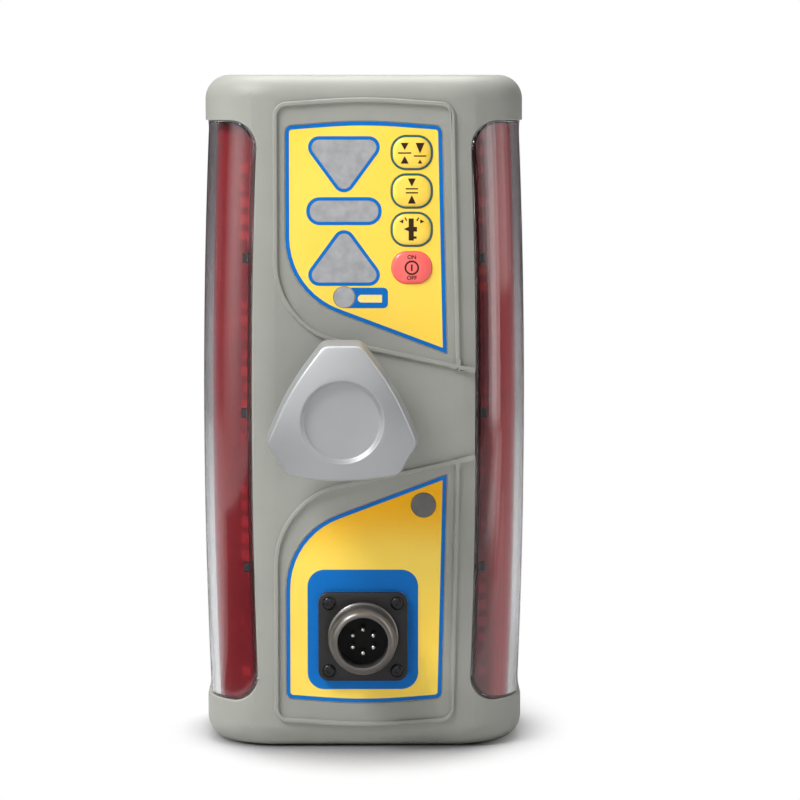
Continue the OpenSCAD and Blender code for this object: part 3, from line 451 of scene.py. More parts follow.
def grain_group():
    """A fine moulded grain as a height, and the gloss that goes with it."""
    group, given, result = new_group(
        "moulded_grain",
        [("Scale", "NodeSocketFloat", 2500.0), ("Gloss", "NodeSocketFloat", 0.4),
         ("Spread", "NodeSocketFloat", 0.08)],
        [("Height", "NodeSocketFloat"), ("Roughness", "NodeSocketFloat")])
    noise = object_noise(group, given.outputs["Scale"], 3)
    coarse = group.nodes.new("ShaderNodeMath")
    coarse.operation = "MULTIPLY"
    coarse.inputs[1].default_value = 150
    group.links.new(given.outputs["Gloss"], coarse.inputs[0])
    slow = object_noise(group, coarse.outputs["Value"], 2)
    swing = group.nodes.new("ShaderNodeMath")
    swing.operation = "SUBTRACT"
    swing.inputs[1].default_value = 0.5
    amount = group.nodes.new("ShaderNodeMath")
    amount.operation = "MULTIPLY_ADD"
    group.links.new(slow.outputs["Fac"], swing.inputs[0])
    group.links.new(swing.outputs["Value"], amount.inputs[0])
    group.links.new(given.outputs["Spread"], amount.inputs[1])
    group.links.new(given.outputs["Gloss"], amount.inputs[2])
    group.links.new(noise.outputs["Fac"], result.inputs["Height"])
    group.links.new(amount.outputs["Value"], result.inputs["Roughness"])
    return group


TONE_DRIFT = tone_drift_group()
MOULDED_GRAIN = grain_group()


# Materials

def tone(red, green, blue):
    """A colour as a screen shows it, 0 to 255, in linear light."""
    def linear(level):
        level /= 255
        return level / 12.92 if level <= 0.04045 else ((level + 0.055) / 1.055) ** 2.4
    return (linear(red), linear(green), linear(blue), 1.0)


def placed_group(tree, group, **values):
    """A node group in a material, with its values set."""
    node = tree.nodes.new("ShaderNodeGroup")
    node.node_tree = group
    for label, value in values.items():
        node.inputs[label].default_value = value
    return node


def surface(name, colour, drift, gloss, metal=0.0, grain=(2500, 0.1), drift_scale=60.0, spread=0.1,
            coat=0.0, shine=0.5):
    """A moulded, cast or painted finish: drifting colour, varied gloss and a fine grain."""
    material = bpy.data.materials.new(name)
    material.use_nodes = True
    tree = material.node_tree
    shader = tree.nodes["Principled BSDF"]
    shader.inputs["Metallic"].default_value = metal
    shader.inputs["Specular IOR Level"].default_value = shine
    shader.inputs["Coat Weight"].default_value = coat
    shader.inputs["Coat Roughness"].default_value = 0.08
    colours = placed_group(tree, TONE_DRIFT, Colour=colour, Drift=drift, Scale=drift_scale)
    texture = placed_group(tree, MOULDED_GRAIN, Scale=grain[0], Gloss=gloss, Spread=spread)
    bump = tree.nodes.new("ShaderNodeBump")
    bump.inputs["Strength"].default_value = grain[1]
    bump.inputs["Distance"].default_value = 0.1 * MM
    tree.links.new(colours.outputs["Colour"], shader.inputs["Base Color"])
    tree.links.new(texture.outputs["Roughness"], shader.inputs["Roughness"])
    tree.links.new(texture.outputs["Height"], bump.inputs["Height"])
    tree.links.new(bump.outputs["Normal"], shader.inputs["Normal"])
    return material


def blend_of(tree, factor, first, second):
    """A colour between two, where each may be a colour or a socket."""
    mix = tree.nodes.new("ShaderNodeMix")
    mix.data_type = "RGBA"
    tree.links.new(factor, mix.inputs["Factor"])
    for socket, colour in ((mix.inputs["A"], first), (mix.inputs["B"], second)):
        if isinstance(colour, tuple):
            socket.default_value = colour
        else:
            tree.links.new(colour, socket)
    return mix.outputs["Result"]


def number(tree, operation, first, second=None):
    """One step of arithmetic on a socket."""
    step = tree.nodes.new("ShaderNodeMath")
    step.operation = operation
    tree.links.new(first, step.inputs[0])
    if isinstance(second, float):
        step.inputs[1].default_value = second
    elif second is not None:
        tree.links.new(second, step.inputs[1])
    return step.outputs["Value"]


def ramp(tree, value, start, end):
    """Nought at start, one at end, soft between."""
    step = tree.nodes.new("ShaderNodeMapRange")
    step.interpolation_type = "SMOOTHSTEP"
    step.inputs["From Min"].default_value = start
    step.inputs["From Max"].default_value = end
    tree.links.new(value, step.inputs["Value"])
    return step.outputs["Result"]


def span(pair):
    """Two places in millimetres as metres."""
    return [place * MM for place in pair]


def place_on(tree):
    """The sockets of a place on a piece or card along X, Y and Z."""
    place = tree.nodes.new("ShaderNodeTexCoord")
    parts = tree.nodes.new("ShaderNodeSeparateXYZ")
    tree.links.new(place.outputs["Object"], parts.inputs["Vector"])
    return parts.outputs


def filter_material():
    """Deep red sheet, darker toward the face, with a painted highlight that makes the right-hand filter paler
    toward its outer side, and a row of paler cells that shine through it.
    """
    material = surface("filter_red", tone(106, 26, 31), tone(98, 23, 29), 0.35, grain=(900, 0.05),
                       drift_scale=160, shine=0.15)
    tree = material.node_tree
    shader = tree.nodes["Principled BSDF"]
    base = shader.inputs["Base Color"].links[0].from_socket
    place = tree.nodes.new("ShaderNodeTexCoord")
    parts = tree.nodes.new("ShaderNodeSeparateXYZ")
    tree.links.new(place.outputs["Object"], parts.inputs["Vector"])
    across = number(tree, "ABSOLUTE", parts.outputs["X"])
    outer = blend_of(tree, ramp(tree, across, *span(FILTER_OUTER)), base, tone(126, 38, 42))
    # painted highlight: the right-hand filter turns paler red toward its outer side, standing in for light
    # from the right
    outer = blend_of(tree, ramp(tree, parts.outputs["X"], *span(FILTER_RIGHT_HIGHLIGHT)), outer, tone(176, 52, 56))
    along = number(tree, "FRACT", number(tree, "DIVIDE", parts.outputs["Z"], CELL_PITCH * MM))
    off_centre = number(tree, "ABSOLUTE", number(tree, "SUBTRACT", along, 0.5))
    row = ramp(tree, off_centre, *CELL_SHARES)
    for side in (CELL_INNER, CELL_OUTER):
        row = number(tree, "MULTIPLY", row, ramp(tree, across, *span(side)))
    patches = tree.nodes.new("ShaderNodeTexNoise")
    patches.inputs["Scale"].default_value = PATCH_SCALE
    tree.links.new(place.outputs["Object"], patches.inputs["Vector"])
    cells = number(tree, "MULTIPLY", row, ramp(tree, patches.outputs["Fac"], *PATCH_SHARES))
    tree.links.new(blend_of(tree, cells, outer, tone(140, 37, 42)), shader.inputs["Base Color"])
    return material


def lower_panel():
    """The yellow of the lower panel, with a painted shadow of the knob that deepens it toward orange at its
    top edge.
    """
    material = surface("panel_low", tone(255, 222, 98), tone(254, 216, 84), 0.4, grain=(2600, 0.05),
                       drift_scale=25, shine=0.2)
    tree = material.node_tree
    base = tree.nodes["Principled BSDF"].inputs["Base Color"]
    yellow = base.links[0].from_socket
    # painted shade: the knob's shadow is painted as a deeper orange near the top of the panel
    knob_shadow = ramp(tree, place_on(tree)["Z"], *span(KNOB_SHADOW_SPAN))
    tree.links.new(blend_of(tree, knob_shadow, yellow, tone(244, 177, 2)), base)
    return material


def clear_lens():
    """Clear moulded acrylic that lets lamp light through to the filter behind it."""
    material = surface("lens_clear", tone(250, 250, 250), tone(244, 246, 248), 0.05, grain=(400, 0.02),
                       spread=0.05)
    tree = material.node_tree
    shader = tree.nodes["Principled BSDF"]
    shader.inputs["Transmission Weight"].default_value = 1.0
    shader.inputs["IOR"].default_value = 1.49
    through = tree.nodes.new("ShaderNodeBsdfTransparent")
    through.inputs["Color"].default_value = (0.93, 0.93, 0.93, 1)
    path = tree.nodes.new("ShaderNodeLightPath")
    choice = tree.nodes.new("ShaderNodeMixShader")
    tree.links.new(path.outputs["Is Shadow Ray"], choice.inputs["Fac"])
    tree.links.new(shader.outputs["BSDF"], choice.inputs[1])
    tree.links.new(through.outputs["BSDF"], choice.inputs[2])
    tree.links.new(choice.outputs["Shader"], tree.nodes["Material Output"].inputs["Surface"])
    return material


CASE_GREY = surface("case_moulding", tone(152, 153, 146), tone(148, 149, 142), 0.46,
                    grain=(3200, 0.12), shine=0.35)
LENS_CLEAR = clear_lens()
FILTER_RED = filter_material()
SEAL_RED = surface("lens_seal", tone(70, 22, 26), tone(56, 18, 22), 0.6, shine=0.2)
SEAL_BLACK = surface("seal_rubber", tone(38, 38, 40), tone(30, 30, 32), 0.7)
CLIP_BLACK = surface("clip_moulding", tone(36, 34, 36), tone(28, 27, 29), 0.5)
STEEL = surface("steel", tone(190, 192, 196), tone(172, 174, 178), 0.3, metal=1.0, grain=(1800, 0.05))
BOARD_GREEN = surface("board_resist", tone(28, 92, 52), tone(20, 76, 44), 0.4, grain=(900, 0.05))
SENSOR_DARK = surface("sensor_face", tone(52, 30, 34), tone(36, 22, 28), 0.25, coat=0.3)
LED_CLEAR = surface("lamp_lens", tone(206, 210, 214), tone(188, 192, 198), 0.2, coat=0.4)
PANEL_YELLOW = surface("panel_yellow", tone(255, 219, 92), tone(253, 212, 76), 0.4,
                       grain=(2600, 0.05), drift_scale=25, shine=0.2)
WINDOW_GREY = surface("window_diffuser", tone(170, 170, 171), tone(152, 153, 156), 0.35,
                      grain=(500, 0.12), drift_scale=260, shine=0.3)
LAMP_DARK = surface("lamp_window", tone(106, 105, 103), tone(96, 95, 93), 0.35,
                    grain=(600, 0.08), drift_scale=200, shine=0.3)
KEY_YELLOW = surface("key_yellow", tone(255, 217, 84), tone(252, 208, 66), 0.22,
                     grain=(1500, 0.03), drift_scale=90, coat=0.35)
KEY_RED = surface("key_red", tone(252, 108, 102), tone(248, 96, 92), 0.24,
                  grain=(1500, 0.03), drift_scale=90, coat=0.35)
# painted sheen: the shell has the same black plating as the flange, but is painted paler to stand in for the
# highlights on its rounded nose
SHELL_BLACK = surface("shell_plated", tone(116, 112, 108), tone(104, 100, 97), 0.32,
                      metal=0.75, grain=(1500, 0.04), spread=0.1)
FLANGE_BLACK = surface("flange_plated", tone(46, 45, 45), tone(40, 39, 40), 0.4,
                       metal=0.4, grain=(1500, 0.05))
SCREW_BLACK = surface("screw_black", tone(34, 33, 34), tone(28, 27, 29), 0.16, metal=0.3, grain=(1500, 0.03))
INSERT_BLACK = surface("insert_moulding", tone(22, 20, 20), tone(16, 15, 16), 0.5, shine=0.2)
PIN_SILVER = surface("pin_plating", tone(226, 224, 218), tone(206, 204, 198), 0.2, metal=1.0)
KNOB_GREY = surface("knob_paint", tone(174, 176, 178), tone(170, 172, 174), 0.4,
                    metal=0.5, grain=(2800, 0.05), drift_scale=40)
BRASS = surface("bush_brass", tone(196, 164, 92), tone(176, 144, 80), 0.32, metal=1.0)
JAW_ALLOY = surface("jaw_alloy", tone(170, 172, 174), tone(150, 152, 156), 0.42, metal=0.9, grain=(1400, 0.1))
HOOK_ALLOY = surface("hook_casting", tone(146, 147, 146), tone(132, 133, 133), 0.48,
                     metal=0.6, grain=(1100, 0.25))
TRAY_BLACK = surface("tray_moulding", tone(44, 44, 46), tone(36, 36, 38), 0.5)
CELL_JACKET = surface("cell_jacket", tone(40, 96, 70), tone(34, 84, 60), 0.28, coat=0.3)
INK_BLUE = surface("ink_blue", tone(8, 112, 194), tone(6, 104, 184), 0.4,
                   grain=(2600, 0.04), drift_scale=25, shine=0.12)
INK_TEAL = surface("ink_teal", tone(44, 108, 116), tone(38, 100, 108), 0.4, grain=(2600, 0.04), shine=0.12)
INK_BROWN = surface("ink_brown", tone(58, 40, 26), tone(50, 34, 22), 0.4, grain=(2600, 0.04), shine=0.12)
INK_PALE = surface("ink_pale_yellow", tone(255, 228, 136), tone(253, 222, 124), 0.4,
                   grain=(2600, 0.04), shine=0.2)

FINISHES = {
    "case_grey": CASE_GREY, "clear_lens": LENS_CLEAR, "red_filter": FILTER_RED, "seal_rubber": SEAL_BLACK,
    "clip_dark": CLIP_BLACK, "steel": STEEL, "board_green": BOARD_GREEN, "sensor_dark": SENSOR_DARK,
    "led_clear": LED_CLEAR, "overlay_yellow": PANEL_YELLOW, "display_grey": WINDOW_GREY,
    "lamp_dark": LAMP_DARK, "key_yellow": KEY_YELLOW, "key_red": KEY_RED, "connector_black": SHELL_BLACK,
    "insert_black": INSERT_BLACK, "pin_silver": PIN_SILVER, "knob_grey": KNOB_GREY, "bush_brass": BRASS,
    "jaw_alloy": JAW_ALLOY, "hook_alloy": HOOK_ALLOY, "tray_black": TRAY_BLACK, "cell_jacket": CELL_JACKET,
}

# Nodes whose finish isn't that of their slot
OWN_FINISHES = {"lens_seal_left": SEAL_RED, "lens_seal_right": SEAL_RED, "connector_overlay": lower_panel()}


def paint_frame():
    """Gives every CAD node its own finish, or that of its slot."""
    for node, thing in NODES.items():
        thing.data.materials.clear()
        thing.data.materials.append(OWN_FINISHES.get(node, FINISHES[SLOT_OF[node]]))


def dress(node, soft_edges, angle=35, **steps):
    """Puts a softened copy of a CAD node in its place, in the same finish."""
    piece = dressed(node, soft_edges, angle, **steps)
    return settle(piece, BODY_OF[node], FINISHES[SLOT_OF[node]], [node])


# Housings

def part_bead(piece):
    """Parts the bead's long edges near where its runs meet, so that the meetings stay as they are."""
    for place, way in (((BEAD_MEET_X, 0, 0), (1, 0, 0)), ((0, 0, MID_Z + BEAD_MEET_UP), (0, 0, 1)),
                       ((0, 0, MID_Z - BEAD_MEET_UP), (0, 0, 1))):
        choose_faces(piece, lambda at, normal: at.y < FACE_Y - NEAR)
        bpy.ops.mesh.bisect(plane_co=Vector(place) * MM, plane_no=way)
        close_mesh()


def on_bead_run(at):
    """Whether a place is on top of the line bead and clear of its meetings."""
    meeting = at.x > BEAD_MEET_X + TOUCH and abs(at.z - MID_Z) < BEAD_MEET_UP - TOUCH
    return at.y < BEAD_Y + NEAR and not meeting


def on_window_edge(at):
    """Whether a place is on the rim of a side window, behind the face."""
    return (abs(at.x) > WINDOW_X and FACE_Y + NEAR / 2 < at.y < WINDOW_BACK
            and abs(at.z - MID_Z) < WINDOW_HALF)


def mend_front(piece):
    """Lifts the bead, and draws the crests of the screw bosses down where they break through the corners."""
    for vertex in piece.data.vertices:
        if vertex.co.y / MM < FACE_Y - 2 * TOUCH:
            vertex.co.y = (FACE_Y + (vertex.co.y / MM - FACE_Y) * BEAD_LIFT) * MM

    def off_axis(at):
        return math.hypot(abs(at.x) - BOSS_X, abs(at.z - MID_Z) - BOSS_UP)

    ring = [v for v in piece.data.vertices if abs(off_axis(v.co / MM) - BOSS_R) < BOSS_FIT]
    crests = [v for v in ring if abs(v.co.y / MM - BOSS_Y) < TOUCH]
    skin = [v for v in ring if BOSS_Y + 2 * TOUCH < v.co.y / MM < BOSS_Y + BOSS_RISE]
    for crest in crests:
        near = min(skin, key=lambda v: (v.co.x - crest.co.x) ** 2 + (v.co.z - crest.co.z) ** 2)
        if math.hypot(near.co.x - crest.co.x, near.co.z - crest.co.z) < BOSS_NEAR * MM:
            crest.co.y = near.co.y
    flush = [v.index for v in crests + skin]
    open_mesh(piece, "VERT", "DESELECT")
    close_mesh()
    for i in flush:
        piece.data.vertices[i].select = True
    bpy.ops.object.mode_set(mode="EDIT")
    bpy.ops.mesh.remove_doubles(threshold=BOSS_WELD * MM)
    close_mesh()


def dress_housings():
    """The front case, the lenses and the clamp with softened edges."""
    dress("front_case", [(*BEAD_EDGE, on_bead_run), (*WINDOW_EDGE, on_window_edge)],
          tidy=lambda at: at.y < FACE_Y + NEAR, prepare=part_bead, mend=mend_front)
    for node, edge in SOFT_EDGES.items():
        dress(node, [(*edge, everywhere)])


# Knob

def knob_rim(count):
    """The front outline of the knob about its axis, as evenly spaced points, with their inward directions."""
    corners = {(round(v.co.x / MM - KNOB_X, 4), round(v.co.z / MM - KNOB_Z, 4))
               for v in NODES["clamp_knob"].data.vertices if v.co.y / MM < KNOB_Y + TOUCH}
    outline = [Vector(c) for c in corners if math.hypot(*c) > RECESS_R + KNOB_WALL / 2]
    outline.sort(key=lambda c: math.atan2(c.y, c.x))
    lengths = [(outline[(i + 1) % len(outline)] - p).length for i, p in enumerate(outline)]
    step = sum(lengths) / count
    points, i, gone = [], 0, 0.0
    for k in range(count):
        while k * step > gone + lengths[i]:
            gone += lengths[i]
            i += 1
        points.append(outline[i].lerp(outline[(i + 1) % len(outline)], (k * step - gone) / lengths[i]))
    inward = []
    for k in range(count):
        along = points[(k + 1) % count] - points[k - 1]
        inward.append(Vector((-along.y, along.x)).normalized())
    return points, inward


def loft(name, rings):
    """A closed skin through rings of points, each ring extruded from the one before it."""
    rest_tools()
    bpy.ops.mesh.primitive_circle_add(vertices=len(rings[0]), radius=MM, fill_type="NOTHING")
    piece = bpy.context.object
    piece.name = name
    for vertex, point in zip(piece.data.vertices, rings[0]):
        vertex.co = point
    bpy.ops.object.mode_set(mode="EDIT")
    bpy.ops.mesh.select_mode(type="EDGE")
    bpy.ops.mesh.select_all(action="SELECT")
    for before, ring in zip(rings, rings[1:]):
        bpy.ops.mesh.extrude_edges_move()
        close_mesh()
        place = {tuple(round(c, 7) for c in point): i for i, point in enumerate(before)}
        for vertex in piece.data.vertices:
            if vertex.select:
                vertex.co = ring[place[tuple(round(c, 7) for c in vertex.co)]]
        bpy.ops.object.mode_set(mode="EDIT")
    bpy.ops.mesh.edge_face_add()
    bpy.ops.mesh.select_all(action="DESELECT")
    close_mesh()
    for edge in piece.data.edges:
        edge.select = all(i < len(rings[0]) for i in edge.vertices)
    bpy.ops.object.mode_set(mode="EDIT")
    bpy.ops.mesh.edge_face_add()
    bpy.ops.mesh.select_all(action="SELECT")
    bpy.ops.mesh.normals_make_consistent(inside=False)
    close_mesh()
    return piece


def knob_rings():
    """Rings from the hollow back, over the drafted side and the crowned front, down into the round recess."""
    rim, inward = knob_rim(KNOB_POINTS)
    low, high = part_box("clamp_knob")
    back = high[1] / MM
    draft = (high[0] - low[0]) / MM / (max(p.x for p in rim) - min(p.x for p in rim))

    def at(point, y):
        return Vector(((KNOB_X + point.x) * MM, y * MM, (KNOB_Z + point.y) * MM))

    def crowned(point):
        return KNOB_Y + KNOB_SAG * ((point.length / KNOB_REACH) ** 2 - (RECESS_R / KNOB_REACH) ** 2)

    rings = [[at(p * draft + n * KNOB_WALL, y) for p, n in zip(rim, inward)]
             for y in (KNOB_Y + KNOB_HOLLOW, back)]
    rings.append([at(p * draft + n * KNOB_BACK_EDGE, back) for p, n in zip(rim, inward)])
    rings.append([at(p * draft, back - KNOB_BACK_EDGE) for p in rim])
    for turn in KNOB_EDGE_TURNS:
        inset = KNOB_EDGE * (1 - math.cos(math.radians(turn)))
        drop = KNOB_EDGE * (1 - math.sin(math.radians(turn)))
        rings.append([at(p + n * inset, crowned(p + n * inset) + drop) for p, n in zip(rim, inward)])
    shoulder = [p + n * KNOB_EDGE for p, n in zip(rim, inward)]
    lip = [p.normalized() * (RECESS_R + RECESS_LIP) for p in rim]
    for k in range(1, KNOB_STEPS + 1):
        ring = [p.lerp(q, k / KNOB_STEPS) for p, q in zip(shoulder, lip)]
        rings.append([at(p, crowned(p)) for p in ring])
    for radius, depth in RECESS_PROFILE:
        rings.append([at(p.normalized() * radius, KNOB_Y + depth) for p in rim])
    return rings


def make_knob():
    """The knob with its crowned front and round recess."""
    knob = loft("clamp_knob_turned", knob_rings())
    smooth(knob, 40)
    settle(knob, "knob", KNOB_GREY, ["clamp_knob"])


# Panels

def print_piece(piece, ink, body="case"):
    """Inks a printed piece and lets it ride on its body."""
    smooth(piece, 30)
    return settle(piece, body, ink)


def battery_path():
    """The battery sign: a rounded bar whose near end is hollowed round the lamp window."""
    reach = LAMP_R + LAMP_GAP
    first = math.asin((SIGN_TOP - LAMP_UP) / reach)
    last = -math.asin(min((LAMP_UP - SIGN_LOW) / reach, 1))
    hollow = [(DISPLAY_X + reach * math.cos(a), LAMP_UP + reach * math.sin(a))
              for a in (first + (last - first) * k / 24 for k in range(25))]
    corners = [(DISPLAY_X, SIGN_LOW), (SIGN_X, SIGN_LOW), (SIGN_X, SIGN_TOP), (DISPLAY_X, SIGN_TOP)]
    far_end = corner_arc(corners, 1, SIGN_R, 10) + corner_arc(corners, 2, SIGN_R, 10)
    return [(x, MID_Z + up) for x, up in far_end + hollow]


def print_panels():
    """Blue borders, outlines of the display windows, the battery sign and the ground under the connector."""
    front = OVERLAY_Y - INK_T
    low = LOWER_OVERLAY_Y - INK_T
    for name, lower, y in (("upper_border", False, front), ("lower_border", True, low)):
        edges = [panel_path(-inset, lower) for inset in (BORDER_MARGIN, BORDER_W)]
        print_piece(band(name, *edges, y, INK_T), INK_BLUE)
    for name, up in (("arrow_down_edge", False), ("arrow_up_edge", True)):
        print_piece(band(name, arrow_path(up, 0), arrow_path(up, -OUTLINE_W), front, INK_T), INK_BLUE)
    edges = [box_path(DISPLAY_X, MID_Z + DISPLAY_UP, BAR_W, BAR_H, BAR_R, grow) for grow in (0, -OUTLINE_W)]
    print_piece(band("grade_bar_edge", *edges, front, INK_T), INK_BLUE)
    ground = [box_path(BLUE_PANEL_X, BLUE_PANEL_Z, BLUE_PANEL_W, BLUE_PANEL_H, BLUE_PANEL_R),
              box_path(FLANGE_X, FLANGE_Z, FLANGE_W, FLANGE_W, FLANGE_R, GROUND_GAP)]
    print_piece(band("connector_ground", *ground, low, INK_T), INK_BLUE)
    print_piece(plate("battery_sign", battery_path(), front, INK_T), INK_BLUE)
    slot = [(SLOT_LEFT, SLOT_LOW), (SLOT_RIGHT, SLOT_LOW), (SLOT_RIGHT, SLOT_TOP), (SLOT_LEFT, SLOT_TOP)]
    radii = [SLOT_R, SLOT_CORNER, SLOT_CORNER, SLOT_R]
    slot_path = [(x, MID_Z + up) for x, up in rounded(slot, radii)]
    print_piece(plate("battery_slot", slot_path, front - INK_T / 2, INK_T / 2), INK_PALE)


# Keys

def key_place(node):
    """The middle of a key, in millimetres."""
    low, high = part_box(node)
    return (low[0] + high[0]) / 2 / MM, (low[2] + high[2]) / 2 / MM


def key_piece(node, width, height, steps, colour):
    """A domed key in place of its plain solid: each step insets the top and lifts it."""
    x, z = key_place(node)
    front = OVERLAY_Y - KEY_EDGE_RISE
    piece = plate(node + "_dome", box_path(x, z, width, height, KEY_R, steps=12), front, KEY_SKIRT)
    for inset, rise in steps:
        choose_faces(piece, lambda at, way, y=front: way.y < -0.99 and at.y < y + TOUCH)
        bpy.ops.mesh.inset(thickness=inset * MM, depth=rise * MM)
        close_mesh()
        front -= rise
    smooth(piece, 60)
    return settle(piece, BODY_OF[node], colour, [node])


def key_ring(node):
    """The dark line printed round a key."""
    x, z = key_place(node)
    front = OVERLAY_Y - KEY_EDGE_RISE - KEY_RIM[1] - INK_T
    edges = [box_path(x, z, KEY_W, KEY_H, KEY_R, -inset, 12) for inset in (INK_T / 2, KEY_RING_W)]
    print_piece(band(node + "_ring", *edges, front, INK_T), INK_TEAL, BODY_OF[node])


def down(x, top, tip, half):
    """A triangle that points down from its top edge, or up where its tip is above."""
    return [(x - half, top), (x, tip), (x + half, top)]


def bar(left, right, low, high):
    """An upright rectangle."""
    return [(left, low), (right, low), (right, high), (left, high)]


def line(x, z, half):
    """A thin level line about x and z."""
    return bar(x - half, x + half, z - SIGN_LINE / 2, z + SIGN_LINE / 2)


DEADBAND_SIGN = [
    down(-2.4, 3.3, 0.9, 1.35), line(-2.4, -0.1, 2.2), down(-2.4, -3.65, -1.1, 1.35),
    down(2.75, 3.3, -0.3, 1.5), line(2.75, -1.1, 2.1), down(2.75, -3.65, -2.3, 0.75),
]
ON_GRADE_SIGN = [
    down(0, 4.25, 1.55, 1.35), line(0, 0.78, 2.05), line(0, -0.57, 2.05), down(0, -4.2, -1.3, 1.35),
]
PLUMB_SIGN = [
    bar(-1.05, 0.65, -3.7, 3.7), bar(0.65, 1.75, -0.7, 0.9), [(-2.7, 0.15), (-1.05, -0.6), (-1.05, 0.9)],
    bar(0.65, 1.6, -3.1, -2.3),
    [(-4.2, 2.7), (-2.9, 2.0), (-2.8, 3.4)], [(-2.5, 3.9), (-2.1, 4.1), (-1.5, 3.0), (-1.9, 2.8)],
    [(4.2, 2.7), (2.8, 3.4), (2.9, 2.0)], [(2.5, 3.9), (1.9, 2.8), (1.5, 3.0), (2.1, 4.1)],
]


def letters(word, x, z, y):
    """A word in plain capitals as a flat mesh, its middle at x and z."""
    rest_tools()
    bpy.ops.object.text_add()
    text = bpy.context.object
    text.data.body = word
    text.data.size = LETTER_SIZE * MM
    text.data.offset = LETTER_GROW * MM
    text.data.align_x = "CENTER"
    text.data.align_y = "CENTER"
    bpy.ops.object.convert(target="MESH")
    piece = bpy.context.object
    for vertex in piece.data.vertices:
        vertex.co = (vertex.co.x + x * MM, y * MM, vertex.co.y + z * MM)
    return piece


def power_sign(x, z, y):
    """A ring with an upright bar, between ON and OFF."""
    loops = [loop_of("power_ring", circle_path(x, z, r), y, "NOTHING") for r in POWER_RING_RADII]
    ring = merge(loops, "power_ring")
    open_mesh(ring, "EDGE")
    bpy.ops.mesh.bridge_edge_loops()
    close_mesh()
    w, h = POWER_BAR_HALF_W, POWER_BAR_HALF_H
    upright = loop_of("power_bar", bar(x - w, x + w, z - h, z + h), y, "NGON")
    return [ring, upright, letters("ON", x, z + WORD_UP, y), letters("OFF", x, z - WORD_DOWN, y)]


def lay_sign(node, pieces, dome):
    """Lays flat signs onto a key's dome as a thin coat of ink."""
    sign = merge(pieces, node + "_sign")
    open_mesh(sign, "FACE")
    bpy.ops.mesh.quads_convert_to_tris()
    bpy.ops.mesh.subdivide(number_cuts=SIGN_CUTS)
    close_mesh()
    wrap = sign.modifiers.new("lay", "SHRINKWRAP")
    wrap.target = dome
    wrap.wrap_method = "PROJECT"
    wrap.use_project_y = True
    wrap.use_project_x = wrap.use_project_z = False
    wrap.use_negative_direction = wrap.use_positive_direction = True
    wrap.offset = INK_T * MM / 2
    coat = sign.modifiers.new("coat", "SOLIDIFY")
    coat.thickness = INK_T * MM / 2
    hold(sign)
    bpy.ops.object.modifier_apply(modifier="lay")
    bpy.ops.object.modifier_apply(modifier="coat")
    print_piece(sign, INK_BROWN, BODY_OF[node])


def make_keys():
    """Three ringed keys with their signs, and the red power key."""
    above = OVERLAY_Y - SIGN_LIFT
    signs = {"key_deadband": DEADBAND_SIGN, "key_on_grade": ON_GRADE_SIGN, "key_plumb": PLUMB_SIGN}
    for node, sign in signs.items():
        dome = key_piece(node, KEY_W, KEY_H, [KEY_RIM] + KEY_DOME, KEY_YELLOW)
        key_ring(node)
        x, z = key_place(node)
        shapes = [loop_of("mark", [(x + a, z + b) for a, b in shape], above, "NGON") for shape in sign]
        lay_sign(node, shapes, dome)
    dome = key_piece("key_power", POWER_W, POWER_H, KEY_DOME, KEY_RED)
    x, z = key_place("key_power")
    lay_sign("key_power", power_sign(x, z, above), dome)


# Connector

def screw_head(x, z):
    """A round head with a soft rim and a socket."""
    front = FLANGE_Y - SCREW_HEAD_T
    screw = plate("screw", circle_path(x, z, SCREW_HEAD_R, 36), front, SCREW_HEAD_T)
    choose_sharp_edges(screw, lambda at: at.y < front + NEAR)
    bpy.ops.mesh.bevel(offset=SCREW_ROUND * MM, segments=SCREW_ROUND_STEPS, affect="EDGES")
    close_mesh()
    choose_faces(screw, lambda at, way: way.y < -0.99 and at.y < front + NEAR)
    bpy.ops.mesh.inset(thickness=SOCKET_WALL * MM)
    bpy.ops.mesh.inset(thickness=SOCKET_TAPER * MM, depth=-SOCKET_DEPTH * MM)
    close_mesh()
    return screw


def shell_profile():
    """Radius and depth from the foot of the bore, over the rounded nose, to the groove and collar."""
    nose = [(NOSE_R + (BARREL_R - NOSE_R) * math.sin(a), SHELL_Y + NOSE_LENGTH * (1 - math.cos(a)))
            for a in (math.radians(9 * k) for k in range(11))]
    bore = [(BORE_R, FLANGE_Y + BORE_FOOT), (BORE_R, SHELL_Y + LIP_FAR), (BORE_R + LIP_R, SHELL_Y + LIP_NEAR)]
    groove = [(BARREL_R, FLANGE_Y - GROOVE_TOP), (GROOVE_R, FLANGE_Y - GROOVE_NEAR),
              (GROOVE_R, FLANGE_Y - GROOVE_FAR)]
    collar = [(COLLAR_R - COLLAR_EDGE, FLANGE_Y - COLLAR_TOP),
              (COLLAR_R, FLANGE_Y - COLLAR_TOP + COLLAR_EDGE), (COLLAR_R, FLANGE_Y + COLLAR_FOOT)]
    return bore + nose + groove + collar


def make_connector():
    """The turned shell with its rounded nose, the square flange under it, and four socket screws."""
    rings = [[Vector((x * MM, y * MM, z * MM)) for x, z in circle_path(FLANGE_X, FLANGE_Z, r, 72)]
             for r, y in shell_profile()]
    shell = loft("connector_shell_turned", rings)
    smooth(shell, 40)
    settle(shell, "case", SHELL_BLACK, ["connector_shell"])
    flange = band("connector_flange", box_path(FLANGE_X, FLANGE_Z, FLANGE_W, FLANGE_W, FLANGE_R),
                  circle_path(FLANGE_X, FLANGE_Z, BARREL_R, 44), FLANGE_Y, FLANGE_T)
    choose_sharp_edges(flange, lambda at: at.y < FLANGE_Y + NEAR)
    bpy.ops.mesh.bevel(offset=FLANGE_EDGE * MM, segments=3, affect="EDGES")
    close_mesh()
    smooth(flange)
    settle(flange, "case", FLANGE_BLACK)
    half = SCREW_PITCH / 2
    heads = [screw_head(FLANGE_X + sx * half, FLANGE_Z + sz * half) for sx in (-1, 1) for sz in (-1, 1)]
    screws = merge(heads, "connector_screw_heads")
    smooth(screws)
    settle(screws, "case", SCREW_BLACK, ["connector_screws"])


# Studio

